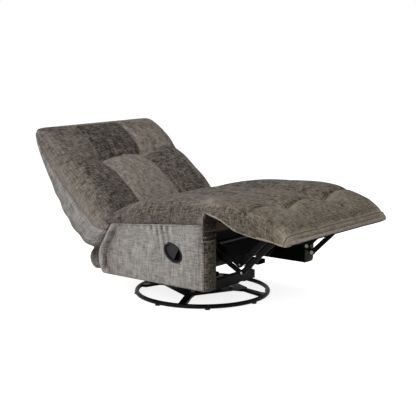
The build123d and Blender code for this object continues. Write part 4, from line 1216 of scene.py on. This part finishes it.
row_y = chaise_cover[:, 0, 1]
welt_row = int(np.argmin(np.abs(row_y - WELT)))
seam_row = int(np.argmin(np.abs(row_y - WELT - SEAM_BEHIND)))
base_columns = 2 * CUSHION_COUNTS[0]
top_columns = slice(base_columns + 3, chaise_cover.shape[1] - base_columns - 2)
welt = sew("footrest_piping", [chaise_cover[welt_row, top_columns]], piping, **PIPING)
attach(welt, "footrest")
footrest_thread = sew("footrest_stitches", [lifted(chaise_cover)[seam_row, top_columns]], stitching, **STITCH)
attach(footrest_thread, "footrest")
side_column = base_columns + 3
back_lines = [lifted(back_front)[8:-8, column] for column in (side_column, -side_column)]
back_thread = sew("back_stitches", back_lines, stitching, **STITCH)
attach(back_thread, "back")
panel_lines = [lifted(cover_skin)[-7, 8:2 * PANEL_COUNTS[0] - 2] for cover_skin in panel_covers.values()]
panel_thread = sew("panel_stitches", panel_lines, stitching, **STITCH)
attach(panel_thread, "chair")

# %% [markdown]
# Below the back a loose flap closes the gap behind the seat. It hangs from the rear bottom rail, bulges
# out and is sewn to the foot of the back. A draped simulation could find its own shape, but the photograph
# shows this one, so its curve is drawn and given small folds.


# %% Sheets of cloth
def sheet_points(line, across, swell, rise=0.0):
    """Points across a line of (y, z), pushed back by swell and up by a share of it, in metres."""
    across = np.broadcast_to(across, swell.shape)
    return np.stack([across, line[:, :1] + SETBACK + swell, line[:, 1:] + rise * swell], -1) * MM


def sheet_piece(name, points, material, thickness, tone=0.0):
    """Cloth of the given thickness from rows of points, with the weave's UV map in metres."""
    rows, columns, _ = points.shape
    row, column = np.meshgrid(np.arange(rows - 1), np.arange(columns - 1), indexing="ij")
    first = (row * columns + column).reshape(-1)
    quads = np.stack([first, first + 1, first + columns + 1, first + columns], 1)
    flat = points.reshape(-1, 3)
    mesh = bpy.data.meshes.new(name)
    mesh.from_pydata(flat.tolist(), [], quads.tolist())
    corner = corners_of(mesh)
    add_weave(mesh, np.stack([flat[corner, 0], lengths(points[:, columns // 2])[corner // columns]], 1))
    face_values(mesh, "tone", np.full(len(quads), tone))
    smooth_faces(mesh)
    mesh.materials.append(material)
    piece = place_piece(name, mesh)
    wall = piece.modifiers.new("cloth", "SOLIDIFY")
    wall.thickness = thickness
    wall.offset = 0.0
    keep_result(piece)
    return piece


# %% Rear flap
FLAP_LINE = [(261, 158), (300, 150), (341, 163), (361, 187), (367, 212), (361, 236), (348, 254), (340, 268)]
FLAP_ROWS, FLAP_COLUMNS = 41, 91
line = evenly(FLAP_LINE, FLAP_ROWS - 1, True)
widen = unit((line[:, 0] - 300) / 30)
half_width = 364.4 + 66 * widen ** 2 * (3 - 2 * widen)
run = np.linspace(-1, 1, FLAP_COLUMNS)[None] * half_width[:, None]
share = np.linspace(0, 1, FLAP_ROWS)[:, None]
bulge = np.sin(math.pi * share) ** 2
fall = bulge * (5.0 * np.sin(run / 37.0 + 1.5 * share) + 3.0 * np.sin(run / 17.0 + 4 * share))
flap = sheet_piece("rear_flap_cloth", sheet_points(line, run, fall, 0.4), grey_weave, 0.0025, 0.26)
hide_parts("rear_flap")
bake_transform(flap)

# %% [markdown]
# In the photograph the space behind the footrest's links is black and closed. A thin black lining does
# that on such chairs: it is stretched from the front seat rail down to the front cross rail, well behind
# the torque tube and between the links, so that nothing touches it when they fold.

# %% Front lining
LINING_LINE = [(-339, 411), (-318, 398), (-285, 383), (-250, 357), (-228, 320), (-212, 270), (-190, 225),
               (-162, 199)]
LINING_ROWS, LINING_COLUMNS = 25, 41
line = evenly(LINING_LINE, LINING_ROWS - 1, True)
run = np.linspace(-267, 267, LINING_COLUMNS)
slack = 2.5 * np.sin(math.pi * np.linspace(0, 1, LINING_ROWS))[:, None] * np.sin(run / 60.0)[None]
front_lining = sheet_piece("front_lining", sheet_points(line, run, slack), lining, 0.0015)
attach(front_lining, "chair")

# %% [markdown]
# Four coil springs carry the seat on the rocker. A coil is a circle swept up a helix; a curve with a
# round bevel gives it directly.

# %% Rocker springs
SPRING_LOW, SPRING_HIGH, SPRING_TURNS = 0.113, 0.144, 3
SPRING_X, SPRING_Y, COIL_RADIUS = 0.190, 0.150, 0.020
STEPS_A_TURN = 24
steps = STEPS_A_TURN * SPRING_TURNS
wires = bpy.data.curves.new("rocker_coils", "CURVE")
wires.dimensions = "3D"
wires.bevel_depth = 0.003
wires.bevel_resolution = 3
wires.use_fill_caps = True
for x, y in ((-SPRING_X, -SPRING_Y), (-SPRING_X, SPRING_Y), (SPRING_X, -SPRING_Y), (SPRING_X, SPRING_Y)):
    wire = wires.splines.new("POLY")
    wire.points.add(steps)
    for index, point in enumerate(wire.points):
        angle = index * 2 * math.pi / STEPS_A_TURN
        rise = SPRING_LOW + (SPRING_HIGH - SPRING_LOW) * index / steps
        point.co = (x + COIL_RADIUS * math.cos(angle), y + SETBACK * MM + COIL_RADIUS * math.sin(angle),
                    rise, 1)
swept = place_piece("rocker_coils_curve", wires)
coil_mesh = bpy.data.meshes.new_from_object(swept.evaluated_get(bpy.context.evaluated_depsgraph_get()))
bpy.data.objects.remove(swept)
coil_mesh.materials.clear()
coil_mesh.materials.append(powder_coat)
smooth_faces(coil_mesh)
springs = place_piece("rocker_coils", coil_mesh)
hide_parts("rocker_springs")
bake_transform(springs)
print("spring faces:", len(coil_mesh.polygons))

# %% [markdown]
# A white studio: the world is white to the camera and a softer light to the chair, and the floor is pale
# with some glow of its own towards the camera, so that it reads as white and still takes the shadow.
# Mirror-like rays see the same white, so that metal shows it too.

# %% World and floor
SEEN_NODES = {"path": "ShaderNodeLightPath", "seen": "ShaderNodeMath", "seen_all": "ShaderNodeMath",
              "choose": "ShaderNodeMixShader"}
SEEN_SETTINGS = [("seen", "operation", "MAXIMUM"), ("seen_all", "operation", "MAXIMUM")]
SEEN_JOINS = [("path", "Is Camera Ray", "seen", 0), ("path", "Is Glossy Ray", "seen", 1),
              ("seen", 0, "seen_all", 0), ("path", "Is Transmission Ray", "seen_all", 1),
              ("seen_all", 0, "choose", 0), ("choose", 0, "out", "Surface")]


def studio_tree(owner, kinds, joins):
    """Shader that lights the chair one way and shows another to the camera and to mirror-like rays."""
    owner.use_nodes = True
    owner.node_tree.nodes.clear()
    return wire_up(owner.node_tree, {**SEEN_NODES, **kinds}, SEEN_SETTINGS, SEEN_JOINS + joins)


scene.world = bpy.data.worlds.new("studio")
nodes = studio_tree(
    scene.world,
    {"soft": "ShaderNodeBackground", "white": "ShaderNodeBackground", "out": "ShaderNodeOutputWorld"},
    [("soft", 0, "choose", 1), ("white", 0, "choose", 2)])
for label, strength in (("soft", 0.30), ("white", 1.0)):
    nodes[label].inputs["Color"].default_value = (1, 1, 1, 1)
    nodes[label].inputs["Strength"].default_value = strength
floor_mesh = bpy.data.meshes.new("studio_floor")
floor_mesh.from_pydata([(-30, -30, 0), (30, -30, 0), (30, 30, 0), (-30, 30, 0)], [], [(0, 1, 2, 3)])
floor = place_piece("studio_floor", floor_mesh)
floor_paint = bpy.data.materials.new("studio_floor")
nodes = studio_tree(
    floor_paint,
    {"matt": "ShaderNodeBsdfDiffuse", "glow": "ShaderNodeEmission", "both": "ShaderNodeAddShader",
     "out": "ShaderNodeOutputMaterial"},
    [("matt", 0, "both", 0), ("glow", 0, "both", 1), ("matt", 0, "choose", 1), ("both", 0, "choose", 2)])
nodes["matt"].inputs["Color"].default_value = (0.62, 0.62, 0.62, 1)
nodes["glow"].inputs["Strength"].default_value = 0.84
floor_mesh.materials.append(floor_paint)
print("studio:", scene.world.name, floor.name)

# %% [markdown]
# Three large square lamps stand for studio soft boxes: a key light on the camera's side, one overhead and
# a weak fill in front. Small lamps would draw hard shadows that the photograph doesn't have.

# %% Lights
LIGHT_TARGET = Vector((0, 0, 0.4))
# name, place, size and watts
LIGHTS = [("key", (-4.2, -1.0, 3.0), 2.6, 190), ("top", (0.3, 0.2, 4.2), 2.5, 80),
          ("fill", (2.0, -4.5, 2.2), 2.5, 22)]
for name, place, size, watts in LIGHTS:
    lamp = bpy.data.lights.new(name, "AREA")
    lamp.size = size
    lamp.energy = watts
    aim(place_piece(name, lamp), place, LIGHT_TARGET - Vector(place))
print("soft lights:", len(LIGHTS))
